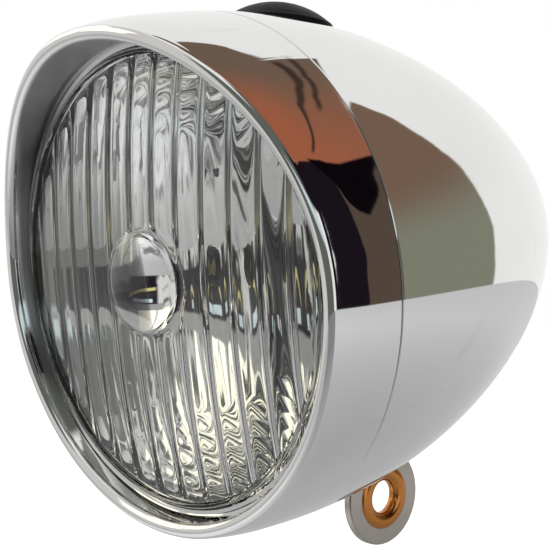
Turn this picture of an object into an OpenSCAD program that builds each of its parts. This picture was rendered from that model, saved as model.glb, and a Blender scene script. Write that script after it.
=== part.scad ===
// Bullet-shaped cycle headlight with a peaked bezel, a fluted lens and a top button.
// Lamp axis along Y, front towards -Y, +Z up; origin at the centre of the tab's bolt hole.

/* [Rear shell] */
// Outer radius of the lamp at the seam between bezel and shell
lamp_r = 38; // [37:0.25:42]
// Radius of the round tail
tail_r = 21.4; // [19:0.2:24]
// Distance of the tail's centre behind the seam
tail_y = 46.4; // [44:0.2:54]
// Wall of the rear shell
shell_wall = 1.6; // [1.2:0.1:2]
// Length of the straight bore that takes the bezel's skirt
mouth_len = 7.8; // [7.2:0.1:10]

/* [Bezel] */
// Reach of the rim in front of the seam, at the sides and below
rim_reach = 12.1; // [11.5:0.1:15]
// How much further the hood's peak reaches
hood_reach = 7.4; // [3:0.2:9]
// Radius of the bezel's outline, seen from the side
bezel_arc_r = 130; // [100:5:200]
// Width of the rounded lip
lip_w = 2.2; // [1.8:0.1:2.8]
// Length of the softened shoulder behind the lip
shoulder_len = 5.5; // [3:0.5:7]
// How far the shoulder draws in at the lip
shoulder_in = 0.35; // [0:0.05:0.5]
// Thickness of the flange that the lens seats on
seat_t = 1.2; // [0.8:0.1:1.6]
// Width of that flange
seat_lip = 1.2; // [1:0.1:1.6]
// Distance of the seat's rear face in front of the seam
seat_y = 8; // [7.6:0.1:8.6]
// Length of the skirt inside the shell
skirt_len = 6.5; // [5.8:0.1:6.8]
// Wall of the skirt
skirt_wall = 1.5; // [1.3:0.1:1.8]
// Radius of the rubber ring's section
seal_r = 0.55; // [0.4:0.05:0.65]
// Distance of the rubber ring behind the seam
seal_y = 1.95; // [1.5:0.05:2.4]
// Radius of the clamping screw's thread
lock_r = 1.2; // [1:0.1:1.5]
// Distance of the clamping screw behind the seam
lock_y = 4.7; // [4.5:0.1:5.2]
// Width of the clamping screw's nut
nut_w = 6; // [5:0.2:6.6]

/* [Lens] */
// Thickness of the lens flange
lens_flange = 1.8; // [1.2:0.1:2.2]
// Width of the plain border round the flutes
border_w = 1.2; // [0.8:0.1:2]
// Height of the plain border above the seat's front face
border_rise = 0.6; // [0.3:0.1:1.2]
// Rise of the lens from the border to the centre
dome_rise = 2.8; // [1.5:0.1:4]
// Distance between two flutes
flute_pitch = 5.1; // [4:0.1:7]
// Depth of a flute
flute_d = 0.9; // [0.5:0.1:1]
// Radius of the round lens in the centre
bull_r = 7.25; // [5:0.25:9]
// Step of the round lens above the dome
bull_step = 0.9; // [0.4:0.1:1.5]
// Crown of the round lens
bull_crown = 2.5; // [0.6:0.1:3]
// Thickness of the rubber gasket
gasket_t = 0.6; // [0.4:0.1:1]

/* [Reflector] */
// Depth of the bowl from its rim to the hole
bowl_depth = 13.6; // [10:0.2:14]
// Wall of the bowl
bowl_wall = 1.5; // [1:0.1:2]
// Thickness of its flange
bowl_flange = 1.2; // [0.8:0.1:1.6]
// Radius of the hole for the light source
bowl_hole_r = 3.1; // [3:0.1:4]
// Height of the ring that holds lens and reflector
ring_h = 2; // [1.4:0.1:2.4]
// Width of that ring
ring_w = 1.7; // [1.2:0.1:2]

/* [Light source] */
// Radius of the round circuit board
board_r = 21.5; // [20:0.5:22]
// Thickness of the circuit boards
board_t = 1.4; // [1:0.1:1.6]
// Gap between the reflector's hole and the board
board_gap = 2; // [1.5:0.1:2.2]
// Outer radius of the collar round the light source
collar_r = 2.9; // [2.7:0.05:2.95]
// Wall of that collar
collar_wall = 0.8; // [0.5:0.05:0.8]
// Length of that collar
collar_h = 3.6; // [2:0.1:4]
// Side of the square package
chip_w = 2.8; // [2.2:0.1:2.8]
// Thickness of the package
chip_t = 1; // [0.7:0.05:1.2]
// Radius of the yellow disc on the package
glow_r = 1; // [0.8:0.05:1]
// Radius of the clear dome
dome_r = 1.4; // [1.3:0.05:1.4]
// Distance of the board screws from the axis
board_screw_r = 16; // [13:0.5:17]
// Width of the driver on the back of the board
driver_w = 5; // [4:0.1:6]
// Radius of the contact pins
pin_r = 1; // [0.8:0.05:1.2]
// How far the pins reach into the tray's tower
pin_sink = 3.8; // [3.4:0.1:4]

/* [Cells] */
// Radius of a cell
cell_r = 5.25; // [5.1:0.05:5.25]
// Length of a cell with its nub
cell_len = 44.5; // [44:0.1:44.5]
// Distance between two cells
cell_pitch = 11.6; // [11.2:0.1:11.8]
// Distance of the tray's open front behind the seam
tray_y = 16; // [15.6:0.1:16.4]
// Wall of the tray
tray_wall = 1.3; // [1:0.1:1.5]
// Room for the contact springs at the end of a cell
spring_room = 3.2; // [2.4:0.1:3.2]
// Thickness of the contact strips
strip_t = 0.4; // [0.3:0.05:0.5]
// Width of the contact strips
strip_w = 6; // [4:0.2:7]
// Sideways distance of the tray's ears from the axis
ear_x = 14; // [13.8:0.1:18]
// Radius of the tray's ears
ear_r = 3; // [2.6:0.1:3.1]
// Thickness of the tray's ears
ear_t = 1.6; // [1.2:0.1:2]

/* [Button] */
// Distance of the button's centre behind the seam
btn_y = 16.6; // [16.4:0.1:17.6]
// Radius of the button
btn_r = 8.3; // [7:0.1:8.5]
// Height of the button above the shell
btn_out = 2.65; // [2:0.05:3.5]
// Travel of the button
btn_travel = 1.2; // [0.6:0.1:1.2]
// Wall of the collar that guides the button
guide_wall = 1.3; // [1:0.1:1.4]
// Depth of that collar below the shell's surface
guide_depth = 9.4; // [9:0.1:10.4]
// Side of the square push switch
switch_w = 7; // [6:0.1:8]
// Height of the push switch
switch_h = 4; // [3.4:0.1:4.4]
// Radius of the switch's plunger
plunger_r = 1.7; // [1.2:0.1:2]

/* [Mounting tab] */
// Distance of the bolt hole behind the seam
lug_y = 33.8; // [32:0.2:38]
// Distance of the bolt hole below the shell's underside
lug_out = 10.55; // [10:0.05:14]
// Radius of the bolt hole in the bush
bolt_r = 2.65; // [2.1:0.05:3.2]
// Radius of the tab's round end
lug_r = 8.1; // [7.6:0.1:8.6]
// Width of the tab's neck at the shell
tab_w = 13; // [12:0.2:14]
// Radius of the fillets between the neck and the round end
neck_r = 3; // [2:0.2:4]
// Thickness of the tab
tab_t = 1.6; // [1.4:0.1:2.2]
// Outer radius of the bush
bush_r = 5.35; // [5:0.05:6]
// How far the bush stands proud of each side of the tab
bush_out = 0.45; // [0.3:0.05:0.8]
// Radius of the rounding at the mouths of the bush
entry_r = 0.6; // [0.4:0.05:0.7]
// Size of the tab's foot inside the shell, across the lamp
foot_w = 20; // [19:0.5:20.5]
// Size of the foot along the lamp
foot_d = 15; // [13:0.5:16]
// Thickness of that foot
foot_t = 2; // [1.6:0.1:2.4]
// Height of the foot's underside above the shell's underside
foot_sink = 7.95; // [7.4:0.05:8.6]

/* [Screws] */
// Radius of the screws in the tray and the tab's foot
screw_r = 1.2; // [1:0.05:1.3]
// Radius of the screws in the circuit boards
small_screw_r = 0.8; // [0.7:0.05:0.9]
// How far a screw reaches into its boss
bite = 4; // [3:0.1:4.5]

/* [Fits] */
// Running gap between pieces that slide on each other
slide_gap = 0.3; // [0.25:0.05:0.4]
// Gap between pieces that are only laid together
seat_gap = 0.1; // [0.05:0.01:0.15]
// Width of the seam between bezel and shell
seam_gap = 0.25; // [0.1:0.05:0.4]

/* [Hidden] */
$fn = 64;
cut = 0.5;                                     // overlap of cutting shapes

// Rear shell: an arc that runs tangent into the round tail
shell_arc_r = (tail_y * tail_y + lamp_r * lamp_r - tail_r * tail_r) / (2 * (lamp_r - tail_r));
tail_angle = atan2(tail_y, shell_arc_r - lamp_r);
function shell_r(y, inset = 0) =
    lamp_r - shell_arc_r + sqrt(pow(shell_arc_r - inset, 2) - y * y);
function shell_outline(inset = 0, y0 = 0) = let (a0 = asin(y0 / (shell_arc_r - inset))) concat(
    [for (i = [0:20]) let (a = a0 + (tail_angle - a0) * i / 20)
        [lamp_r - shell_arc_r + (shell_arc_r - inset) * cos(a), (shell_arc_r - inset) * sin(a)]],
    [for (i = [1:10]) let (a = tail_angle + (90 - tail_angle) * i / 10)
        [i == 10 ? 0 : (tail_r - inset) * cos(a), tail_y + (tail_r - inset) * sin(a)]]);

// Bezel
mouth_r = lamp_r - shell_wall;
skirt_r = mouth_r - slide_gap;
pocket_r = skirt_r - skirt_wall;
seat_open_r = pocket_r - seat_lip;
seat_front = seat_y + seat_t;
lip_r = lip_w / 2;
nut_t = nut_w / 3;
groove_w = 2 * (seal_r + seat_gap);
groove_r = mouth_r - 2 * seal_r - 0.1;
bezel_sides = 72;
hood_z = lamp_r - hood_reach * hood_reach / bezel_arc_r - 1;
hood_arc_r = (hood_z * hood_z + hood_reach * hood_reach) / (2 * hood_reach);

// Front stack, as distances in front of the seam
gasket_back = seat_y - gasket_t;
lens_back = gasket_back - lens_flange;
bowl_back = lens_back - bowl_flange;
ring_back = bowl_back - ring_h;
part_r = pocket_r - seat_gap;
flute_r = seat_open_r - border_w;
border_y = seat_front + border_rise;
bull_y = border_y + dome_rise + bull_step;
lens_rear = border_y - 1.4;
flute_arc_r = flute_r * flute_r / (2 * dome_rise);

// Reflector: a parabola through the rim and the hole
bowl_r = flute_r + 0.6;
hole_y = bowl_depth - lens_back;
focal = (bowl_r * bowl_r - bowl_hole_r * bowl_hole_r) / (4 * bowl_depth);
function bowl_y(r) = hole_y + (bowl_hole_r * bowl_hole_r - r * r) / (4 * focal);
board_y = hole_y + board_gap;
boss_r = small_screw_r + 1.8;
pin_x = 6;
pad_r = pin_r + 0.6;
glow_t = 0.3;
pin_z = cell_pitch + cell_r + 2.6;

// Cells lie across the lamp in an open tray
trough_r = cell_r + 0.15;
cell_y = tray_y + trough_r + 0.2;
tray_back = cell_y + trough_r + tray_wall;
tray_z = cell_pitch + trough_r + tray_wall;
plate_t = 0.5;
tray_in = (cell_len + plate_t + spring_room) / 2;
tray_x = tray_in + tray_wall;
cell_x = (spring_room - plate_t) / 2;
ear_y = cell_y + 0.9;
ear_z = tray_z + ear_r + seat_gap;

// Button, in its own frame on the shell's surface
btn_tilt = asin(btn_y / shell_arc_r);
hole_r = btn_r + slide_gap;
flange_r = btn_r + 1;
guide_r = flange_r + slide_gap;
roof = shell_r(btn_y) - sqrt(pow(shell_r(btn_y) - shell_wall, 2) - guide_r * guide_r);
flange_top = roof + slide_gap;
stem_end = guide_depth - switch_h - btn_travel - 0.2;
guide_out = guide_r + guide_wall;
post_r = small_screw_r + 1.8;
post_x = guide_out + post_r - 0.4;

// Tab
lug_drop = shell_r(lug_y) + lug_out;
foot_drop = shell_r(lug_y) - foot_sink;
slot_gap = 0.2;
barrel_r = bolt_r + 0.9;
foot_x = foot_w / 2 - screw_r - 2.2;

// Puts the lamp's frame, seam centre at its origin, into the part's frame
module lamp() { translate([0, -lug_y, lug_drop]) children(); }

// Turns a profile of radius and distance behind the seam about the lamp's axis
module turned() { rotate([-90, 0, 0]) rotate_extrude($fn = 96) children(); }

// A rod along the lamp's axis between two places
module rod_y(r, y0, y1, x = 0, z = 0) {
    translate([x, y0, z]) rotate([-90, 0, 0]) cylinder(r = r, h = y1 - y0);
}

// A flat ring along the lamp's axis
module ring_y(r0, r1, y0, y1) { turned() polygon([[r0, y0], [r1, y0], [r1, y1], [r0, y1]]); }

// The button's frame: origin on the shell's surface, +Z along its outward normal
module at_button() { translate([0, btn_y, shell_r(btn_y)]) rotate([-btn_tilt, 0, 0]) children(); }

// Pan-head screw pointing down -Z, with the head on z = 0 and a slot across it
module pan_screw(r, len) {
    head_r = 1.95 * r;
    head_h = 1.1 * r;
    difference() {
        union() {
            translate([0, 0, -len]) cylinder(r = r, h = len, $fn = 32);
            cylinder(r = head_r, h = head_h, $fn = 32);
        }
        translate([-head_r, -r / 4, head_h * 0.45]) cube([2 * head_r, r / 2, head_h]);
    }
}

// Everything inside the shell's outer surface
module shell_form() { turned() polygon(concat([[0, 0]], shell_outline())); }

// Rear shell: bullet body with button hole, guide collar, tab slot and bosses
module rear_shell() {
    color("gainsboro") lamp() difference() {
        union() {
            turned() polygon(concat(
                [[mouth_r, 0]], shell_outline(),
                [for (p = shell_back()) p], [[mouth_r, mouth_len]]));
            intersection() {
                shell_form();
                union() {
                    at_button() translate([0, 0, -guide_depth])
                        cylinder(r = guide_out, h = guide_depth);
                    at_button() for (s = [-1, 1]) translate([s * post_x, 0, -guide_depth])
                        cylinder(r = post_r, h = guide_depth);
                    for (x = [-1, 1], z = [-1, 1])
                        rod_y(ear_r, ear_y + ear_t, tail_y, x * ear_x, z * ear_z);
                    for (s = [-1, 1]) translate([s * foot_x, lug_y, -lamp_r])
                        cylinder(r = screw_r + 2, h = lamp_r - foot_drop);
                }
            }
        }
        at_button() translate([0, 0, -lamp_r / 2]) cylinder(r = hole_r, h = lamp_r);
        at_button() translate([0, 0, -lamp_r / 2]) cylinder(r = guide_r, h = lamp_r / 2 - roof);
        at_button() for (s = [-1, 1]) translate([s * post_x, 0, -guide_depth - cut])
            cylinder(r = small_screw_r + 0.05, h = bite + 1 + cut);
        for (x = [-1, 1], z = [-1, 1])
            rod_y(screw_r + 0.05, ear_y, ear_y + ear_t + bite + 1, x * ear_x, z * ear_z);
        for (s = [-1, 1]) translate([s * foot_x, lug_y, -foot_drop - bite - 0.5])
            cylinder(r = screw_r + 0.05, h = bite + 0.5 + cut);
        translate([-tab_t / 2 - slot_gap, lug_y - lug_r - slot_gap, -lamp_r])
            cube([tab_t + 2 * slot_gap, 2 * (lug_r + slot_gap), lamp_r - foot_drop + 1]);
        translate([0, lock_y, -lamp_r - cut]) cylinder(r = lock_r + 0.1, h = 4);
        translate([0, lock_y, -shell_r(lock_y) - 0.1])
            cylinder(r1 = 2 * lock_r + 0.1, r2 = lock_r + 0.1, h = lock_r);
    }
}

// Inner outline of the shell, from the tail back to the mouth
function shell_back() = let (p = shell_outline(shell_wall, mouth_len)) [for (i = [30:-1:0]) p[i]];

// Tab: a plate with a round end, on a foot that is screwed inside the shell
module mount_tab() {
    color("silver") lamp() difference() {
        union() {
            translate([-tab_t / 2, 0, 0]) rotate([90, 0, 90]) linear_extrude(tab_t) tab_outline();
            translate([-foot_w / 2, lug_y - foot_d / 2, -foot_drop])
                cube([foot_w, foot_d, foot_t]);
        }
        translate([-tab_t, lug_y, -lug_drop]) rotate([0, 90, 0])
            cylinder(r = barrel_r + 0.05, h = 2 * tab_t);
        for (s = [-1, 1]) translate([s * foot_x, lug_y, -foot_drop - cut])
            cylinder(r = screw_r + 0.15, h = foot_t + 2 * cut);
    }
}

// Side view of the tab: a neck that runs through two fillets into the round end
module tab_outline() {
    out = tab_w / 2 + neck_r;
    up = sqrt(pow(lug_r + neck_r, 2) - out * out);
    flare = atan2(up, out);
    half = concat([[tab_w / 2, lug_drop - foot_drop]],
        [for (i = [0:6]) let (a = 180 + flare * i / 6) [out + neck_r * cos(a), up + neck_r * sin(a)]],
        [for (i = [1:20]) let (a = flare - (90 + flare) * i / 20) [lug_r * cos(a), lug_r * sin(a)]]);
    translate([lug_y, -lug_drop]) polygon(concat(half,
        [for (i = [len(half) - 2:-1:0]) [-half[i][0], half[i][1]]]));
}

// Bush: an eyelet with rolled flanges, its bore is the bolt hole
module tab_bush() {
    face = tab_t / 2 + bush_out;
    half = face - entry_r;
    arc = [for (i = [0:6]) let (a = 15 * i)
        [bolt_r + entry_r * (1 - cos(a)), half + entry_r * sin(a)]];
    side = concat(arc, [[bush_r - 0.7, face], [bush_r - 0.2, face - 0.15], [bush_r, tab_t / 2]],
        [[barrel_r, tab_t / 2]]);
    color("peru") rotate([0, 90, 0]) rotate_extrude($fn = 64) polygon(concat(side,
        [for (i = [len(side) - 1:-1:0]) [side[i][0], -side[i][1]]]));
}

// Screws that hold the tab's foot
module tab_screws() {
    color("dimgray") lamp() for (s = [-1, 1])
        translate([s * foot_x, lug_y, foot_t - foot_drop]) pan_screw(screw_r, foot_t + bite);
}

// Clamping screw below the seam, flush in the shell
module lock_screw() {
    color("silver") lamp() translate([0, lock_y, -shell_r(lock_y)]) difference() {
        union() {
            cylinder(r = lock_r, h = shell_r(lock_y) - pocket_r + nut_t + 0.7, $fn = 32);
            cylinder(r1 = 2 * lock_r - 0.1, r2 = lock_r, h = lock_r - 0.1, $fn = 32);
        }
        translate([-2.1 * lock_r, -lock_r / 4, -cut])
            cube([4.2 * lock_r, lock_r / 2, lock_r / 3 + cut]);
    }
}

// Square nut that clamps the bezel's skirt against the shell
module lock_nut() {
    color("silver") lamp() translate([0, lock_y, -pocket_r + slide_gap + 0.2]) difference() {
        translate([-nut_w / 2, 0.4 - nut_w / 2, 0]) cube([nut_w, nut_w - 0.8, nut_t]);
        translate([0, 0, -cut]) cylinder(r = lock_r + 0.05, h = nut_t + 2 * cut, $fn = 32);
    }
}

// Tray: three troughs open to the front, with ears and a tower for the contact pins
module battery_tray() {
    color("#2b2b2d") lamp() difference() {
        union() {
            hull() for (x = [-1, 1], z = [-1, 1]) {
                rod_y(4, tray_y, tray_back - 4, x * (tray_x - 4), z * (tray_z - 4));
                rod_y(2, tray_back - 1, tray_back, x * (tray_x - 2), z * (tray_z - 6.5));
            }
            for (x = [-1, 1], z = [-1, 1]) {
                rod_y(ear_r, ear_y, ear_y + ear_t, x * ear_x, z * ear_z);
                translate([x * ear_x - ear_r, ear_y, z > 0 ? tray_z - cut : -ear_z])
                    cube([2 * ear_r, ear_t, ear_z - tray_z + cut]);
            }
            translate([-pin_x - 2.5, tray_y, tray_z - 1]) cube([2 * pin_x + 5, 6, 3.6]);
        }
        for (i = [-1:1]) translate([0, 0, i * cell_pitch]) {
            translate([-tray_in, cell_y, 0]) rotate([0, 90, 0])
                cylinder(r = trough_r, h = 2 * tray_in);
            translate([-tray_in, tray_y - cut, -trough_r])
                cube([2 * tray_in, cell_y - tray_y + cut, 2 * trough_r]);
        }
        for (x = [-1, 1], z = [-1, 1])
            rod_y(screw_r + 0.15, ear_y - cut, ear_y + ear_t + cut, x * ear_x, z * ear_z);
        for (s = [-1, 1]) rod_y(pin_r + 0.05, tray_y - cut, tray_y + pin_sink + 0.2, s * pin_x, pin_z);
    }
}

// Screws that hold the tray in the shell
module tray_screws() {
    color("dimgray") lamp() for (x = [-1, 1], z = [-1, 1])
        translate([x * ear_x, ear_y, z * ear_z]) rotate([90, 0, 0])
            pan_screw(screw_r, ear_t + bite);
}

// A cell across the lamp, its nub towards +X or, turned round, towards -X
module cell(row, way, wrap) {
    nub = 1.2;
    color(wrap) lamp() translate([way * cell_x, cell_y, row * cell_pitch])
        rotate([0, way * 90, 0]) translate([0, 0, -cell_len / 2]) rotate_extrude() polygon([
            [0, 0.3], [3.6, 0.3], [4, 0], [cell_r - 0.5, 0], [cell_r, 0.5],
            [cell_r, cell_len - nub - 0.5], [cell_r - 0.5, cell_len - nub],
            [1.9, cell_len - nub], [1.9, cell_len - 0.2], [1.7, cell_len], [0, cell_len]]);
}
module cell_top() { cell(1, 1, "#46505a"); }
module cell_middle() { cell(0, -1, "#46505a"); }
module cell_bottom() { cell(-1, 1, "#46505a"); }

// Flat plates at the nubs
module contact_plates() {
    color("silver") lamp() for (i = [-1:1]) let (way = i == 0 ? -1 : 1)
        translate([way * (tray_in - plate_t / 2), cell_y, i * cell_pitch])
            rotate([0, 90, 0]) cylinder(r = cell_r - 0.6, h = plate_t - 0.02, center = true);
}

// Bowed strips at the flat ends
module contact_springs() {
    t = strip_t;
    half = trough_r - 1;
    bow = spring_room - 0.5;
    r = (bow * bow + pow(half - t, 2)) / (2 * bow);
    a = asin((half - t) / r);
    color("silver") lamp() for (i = [-1:1]) let (way = i == 0 ? -1 : 1)
        translate([-way * tray_in, cell_y, i * cell_pitch - strip_w / 2])
            mirror([way < 0 ? 1 : 0, 0, 0]) linear_extrude(strip_w) {
                translate([0.01, -half]) square([t, 2 * half]);
                polygon(concat(
                    [for (k = [-8:8]) [t / 2 + bow - r + r * cos(a * k / 8), r * sin(a * k / 8)]],
                    [for (k = [8:-1:-8])
                        [t / 2 + bow - r + (r - t) * cos(a * k / 8), (r - t) * sin(a * k / 8)]]));
            }
}

// Pins that reach the pads on the light's board
module contact_pins() {
    color("goldenrod") lamp() for (s = [-1, 1])
        rod_y(pin_r, board_y + board_t + 0.3, tray_y + pin_sink, s * pin_x, pin_z);
}

// Board across the end of the button's collar
module switch_board() {
    color("darkgreen") lamp() at_button() translate([0, 0, -guide_depth - board_t])
        difference() {
            union() {
                cylinder(r = guide_out, h = board_t);
                for (s = [-1, 1]) translate([s * post_x, 0, 0])
                    cylinder(r = post_r, h = board_t);
            }
            for (s = [-1, 1]) translate([s * post_x, 0, -cut])
                cylinder(r = small_screw_r + 0.1, h = board_t + 2 * cut);
        }
}

// Screws of the switch's board
module switch_screws() {
    color("dimgray") lamp() at_button() for (s = [-1, 1])
        translate([s * post_x, 0, -guide_depth - board_t]) rotate([180, 0, 0])
            pan_screw(small_screw_r, board_t + bite);
}

// Push switch with a well for its plunger
module switch_body() {
    color("#202022") lamp() at_button() difference() {
        translate([-switch_w / 2, -switch_w / 2, -guide_depth])
            cube([switch_w, switch_w, switch_h]);
        translate([0, 0, -guide_depth + 1.1]) cylinder(r = plunger_r + 0.1, h = switch_h);
    }
}

// Plunger under the button's stem
module switch_plunger() {
    color("ivory") lamp() at_button() translate([0, 0, -guide_depth + 1.3 + btn_travel])
        cylinder(r = plunger_r, h = guide_depth - 1.3 - btn_travel - stem_end);
}

// Rubber button: a low dome on a wall, with a flange below the shell and a stem
module button_cap() {
    edge = -0.4;
    crown = btn_out - edge;
    r = (btn_r * btn_r + crown * crown) / (2 * crown);
    a = asin(btn_r / r);
    t = 1.4;
    color("#1b1b1c") lamp() at_button() rotate_extrude() polygon(concat(
        [for (i = [0:8]) let (b = a * i / 8) [i == 0 ? 0 : r * sin(b), btn_out - r * (1 - cos(b))]],
        [[btn_r, -flange_top], [flange_r, -flange_top], [flange_r, -flange_top - 1],
         [btn_r - t, -flange_top - 1], [btn_r - t, edge - t]],
        [for (i = [7:-1:3]) let (b = a * i / 8)
            [(r - t) * sin(b), btn_out - t - (r - t) * (1 - cos(b))]],
        [[2.2, btn_out - t - 0.4], [2.2, -stem_end], [0, -stem_end]]));
}

// Outer radius of the bezel at a distance in front of the seam
function bezel_r(d) = lamp_r - d * d / (2 * bezel_arc_r);

// Reach of the rim at an angle from the top: a plane below, an arc above
function rim_at(c) = let (z = max(0, hood_z * c))
    rim_reach + hood_arc_r - sqrt(hood_arc_r * hood_arc_r - z * z);

// Section of the bezel at an angle from the top, as radius and distance behind the seam
function bezel_section(c) = let (
        reach = rim_at(c),
        y1 = reach - lip_r,
        draw = function(d) shoulder_in * pow(max(0, d - y1 + shoulder_len) / shoulder_len, 2),
        lip_c = bezel_r(y1) - draw(y1) - lip_r)
    concat(
        [for (i = [0:6]) let (d = seam_gap + (y1 - seam_gap) * (1 - pow(1 - i / 6, 1.4)))
            [bezel_r(d) - draw(d), -d]],
        [for (i = [1:6]) [lip_c + lip_r * cos(30 * i), -y1 - lip_r * sin(30 * i)]],
        [[seat_open_r + 0.8, -seat_front], [seat_open_r, -seat_front], [seat_open_r, -seat_y],
         [pocket_r, -seat_y], [pocket_r, skirt_len - 0.4], [pocket_r + 0.4, skirt_len],
         [skirt_r - 0.4, skirt_len], [skirt_r, skirt_len - 0.4],
         [skirt_r, seal_y + groove_w / 2], [groove_r, seal_y + groove_w / 2],
         [groove_r, seal_y - groove_w / 2], [skirt_r, seal_y - groove_w / 2],
         [skirt_r, -seam_gap]]);

// Bezel: its section swept round the axis, with the rim reaching further at the top
module bezel() {
    rings = [for (k = [0:bezel_sides - 1]) bezel_section(cos(360 * k / bezel_sides))];
    n = len(rings[0]);
    points = [for (k = [0:bezel_sides - 1], p = rings[k])
        [p[0] * sin(360 * k / bezel_sides), p[1], p[0] * cos(360 * k / bezel_sides)]];
    faces = [for (k = [0:bezel_sides - 1], i = [0:n - 1]) let (
            a = k * n + i,
            b = k * n + (i + 1) % n,
            c = ((k + 1) % bezel_sides) * n + (i + 1) % n,
            d = ((k + 1) % bezel_sides) * n + i)
        each [[a, b, c], [a, c, d]]];
    color("whitesmoke") lamp() difference() {
        polyhedron(points, faces);
        translate([-lock_r - 0.5, lock_y - lock_r - 0.5, -lamp_r])
            cube([2 * lock_r + 1, skirt_len, 8]);
        translate([-guide_out - 0.6, lock_y - 0.2, 0])
            cube([2 * guide_out + 1.2, skirt_len, lamp_r]);
    }
}

// Rubber ring in the skirt's groove
module seal_ring() {
    color("#151515") lamp() turned() translate([groove_r + 0.05 + seal_r, seal_y])
        circle(r = seal_r, $fn = 24);
}

// Lens: domed front with a round lens in the middle, upright flutes on the back
module lens() {
    dome = [for (i = [0:8]) let (r = flute_r + (bull_r - flute_r) * i / 8)
        [r, -border_y - dome_rise * (1 - pow((r - bull_r) / (flute_r - bull_r), 2))]];
    bull_arc_r = (bull_r * bull_r + bull_crown * bull_crown) / (2 * bull_crown);
    bull = [for (i = [0:6]) let (r = bull_r * (1 - i / 6))
        [r, -bull_y - bull_crown + bull_arc_r - sqrt(bull_arc_r * bull_arc_r - r * r)]];
    back = [for (i = [0:6]) let (r = (flute_r - 0.3) * i / 6)
        [r, -lens_rear - dome_rise * (1 - pow(r / flute_r, 2))]];
    color("lightcyan", 0.5) lamp() union() {
        turned() polygon(concat(back, [[flute_r - 0.3, -lens_back],
             [part_r, -lens_back], [part_r, -gasket_back], [seat_open_r - 0.2, -gasket_back],
             [seat_open_r - 0.2, -border_y + 0.4], [seat_open_r - 0.5, -border_y],
             [flute_r + 0.4, -border_y], [flute_r + 0.2, -border_y + 0.3],
             [flute_r, -border_y + 0.3]], dome, bull));
        intersection() {
            rod_y(flute_r - 0.1, -bull_y, -lens_back);
            flutes();
        }
        rod_y(bull_r, -bull_y, -lens_rear - dome_rise + flute_d + bull_r * bull_r / (2 * flute_arc_r));
    }
}

// Flutes on the back of the lens: upright ribs that follow its dome
module flutes() {
    rib_r = (flute_pitch * flute_pitch / 4 + flute_d * flute_d) / (2 * flute_d);
    half = asin(flute_pitch / 2 / rib_r);
    count = floor(flute_r / flute_pitch);
    for (i = [-count:count]) let (x = i * flute_pitch)
        translate([x, flute_arc_r - lens_rear - dome_rise + x * x / (2 * flute_arc_r), 0])
            rotate([0, 90, 0]) rotate_extrude($fn = 360) polygon(concat(
                [for (k = [-2:2]) [flute_arc_r - flute_d + rib_r * (1 - cos(half * k / 2)),
                    rib_r * sin(half * k / 2)]],
                [[flute_arc_r + 0.5, flute_pitch / 2], [flute_arc_r + 0.5, -flute_pitch / 2]]));
}

// Gasket between the seat and the lens
module lens_gasket() {
    color("#151515") lamp() ring_y(seat_open_r + 0.1, part_r, -seat_y + 0.01, -gasket_back - 0.01);
}

// Reflector: parabolic bowl with a flange, a neck and three screw bosses
module reflector() {
    steps = 12;
    inner = [for (i = [0:steps]) let (r = bowl_r + (bowl_hole_r - bowl_r) * i / steps)
        [r, bowl_y(r)]];
    outer = [for (i = [0:steps]) let (r = bowl_hole_r + bowl_wall
            + (bowl_r - 0.9 - bowl_hole_r - bowl_wall) * i / steps) [r, bowl_y(r) + bowl_wall]];
    color("whitesmoke") lamp() difference() {
        union() {
            turned() polygon(concat(inner,
                [[bowl_hole_r, board_y], [bowl_hole_r + bowl_wall, board_y]], outer,
                [[bowl_r - 0.3, -bowl_back], [part_r, -bowl_back], [part_r, -lens_back]]));
            for (a = [90, 210, 330]) rod_y(boss_r, bowl_y(board_screw_r) + 0.4, board_y,
                board_screw_r * cos(a), board_screw_r * sin(a));
        }
        for (a = [90, 210, 330]) rod_y(small_screw_r + 0.05, board_y - bite - 0.3, board_y + cut,
            board_screw_r * cos(a), board_screw_r * sin(a));
    }
}

// Ring that holds the reflector and the lens in the bezel
module retaining_ring() {
    color("#2b2b2d") lamp() ring_y(part_r - ring_w, part_r + 0.05, -bowl_back, -ring_back);
}

// Round board that carries the light source
module led_board() {
    color("darkgreen") lamp() difference() {
        rod_y(board_r, board_y, board_y + board_t);
        for (a = [90, 210, 330]) rod_y(small_screw_r + 0.2, board_y - cut, board_y + board_t + cut,
            board_screw_r * cos(a), board_screw_r * sin(a));
    }
}

// Screws that hold the board on the reflector
module board_screws() {
    color("dimgray") lamp() for (a = [90, 210, 330])
        translate([board_screw_r * cos(a), board_y + board_t, board_screw_r * sin(a)])
            rotate([-90, 0, 0]) pan_screw(small_screw_r, board_t + bite);
}

// Pads on the back of the board
module contact_pads() {
    color("goldenrod") lamp() for (s = [-1, 1])
        rod_y(pad_r, board_y + board_t, board_y + board_t + 0.2, s * pin_x, pin_z);
}

// Resistors and a driver on the back of the board
module driver_parts() {
    color("#303034") lamp() translate([0, board_y + board_t, 0]) {
        for (s = [-1, 1]) translate([(s * 3.2 - 0.6) * driver_w / 2, 0, -1.8 * driver_w])
            cube([0.6 * driver_w, 0.15 * driver_w, 0.3 * driver_w]);
        translate([-driver_w / 2, 0, -1.2 * driver_w])
            cube([driver_w, 0.28 * driver_w, 0.8 * driver_w]);
    }
}

// Black collar round the light source, in the reflector's hole
module led_collar() {
    color("#202022") lamp() ring_y(collar_r - collar_wall, collar_r, board_y - collar_h, board_y);
}

// Square package of the light source
module led_package() {
    color("white") lamp() translate([-chip_w / 2, board_y - chip_t, -chip_w / 2])
        cube([chip_w, chip_t, chip_w]);
}

// Yellow disc on the package
module led_phosphor() {
    color("gold") lamp() rod_y(glow_r, board_y - chip_t - glow_t, board_y - chip_t);
}

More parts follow.
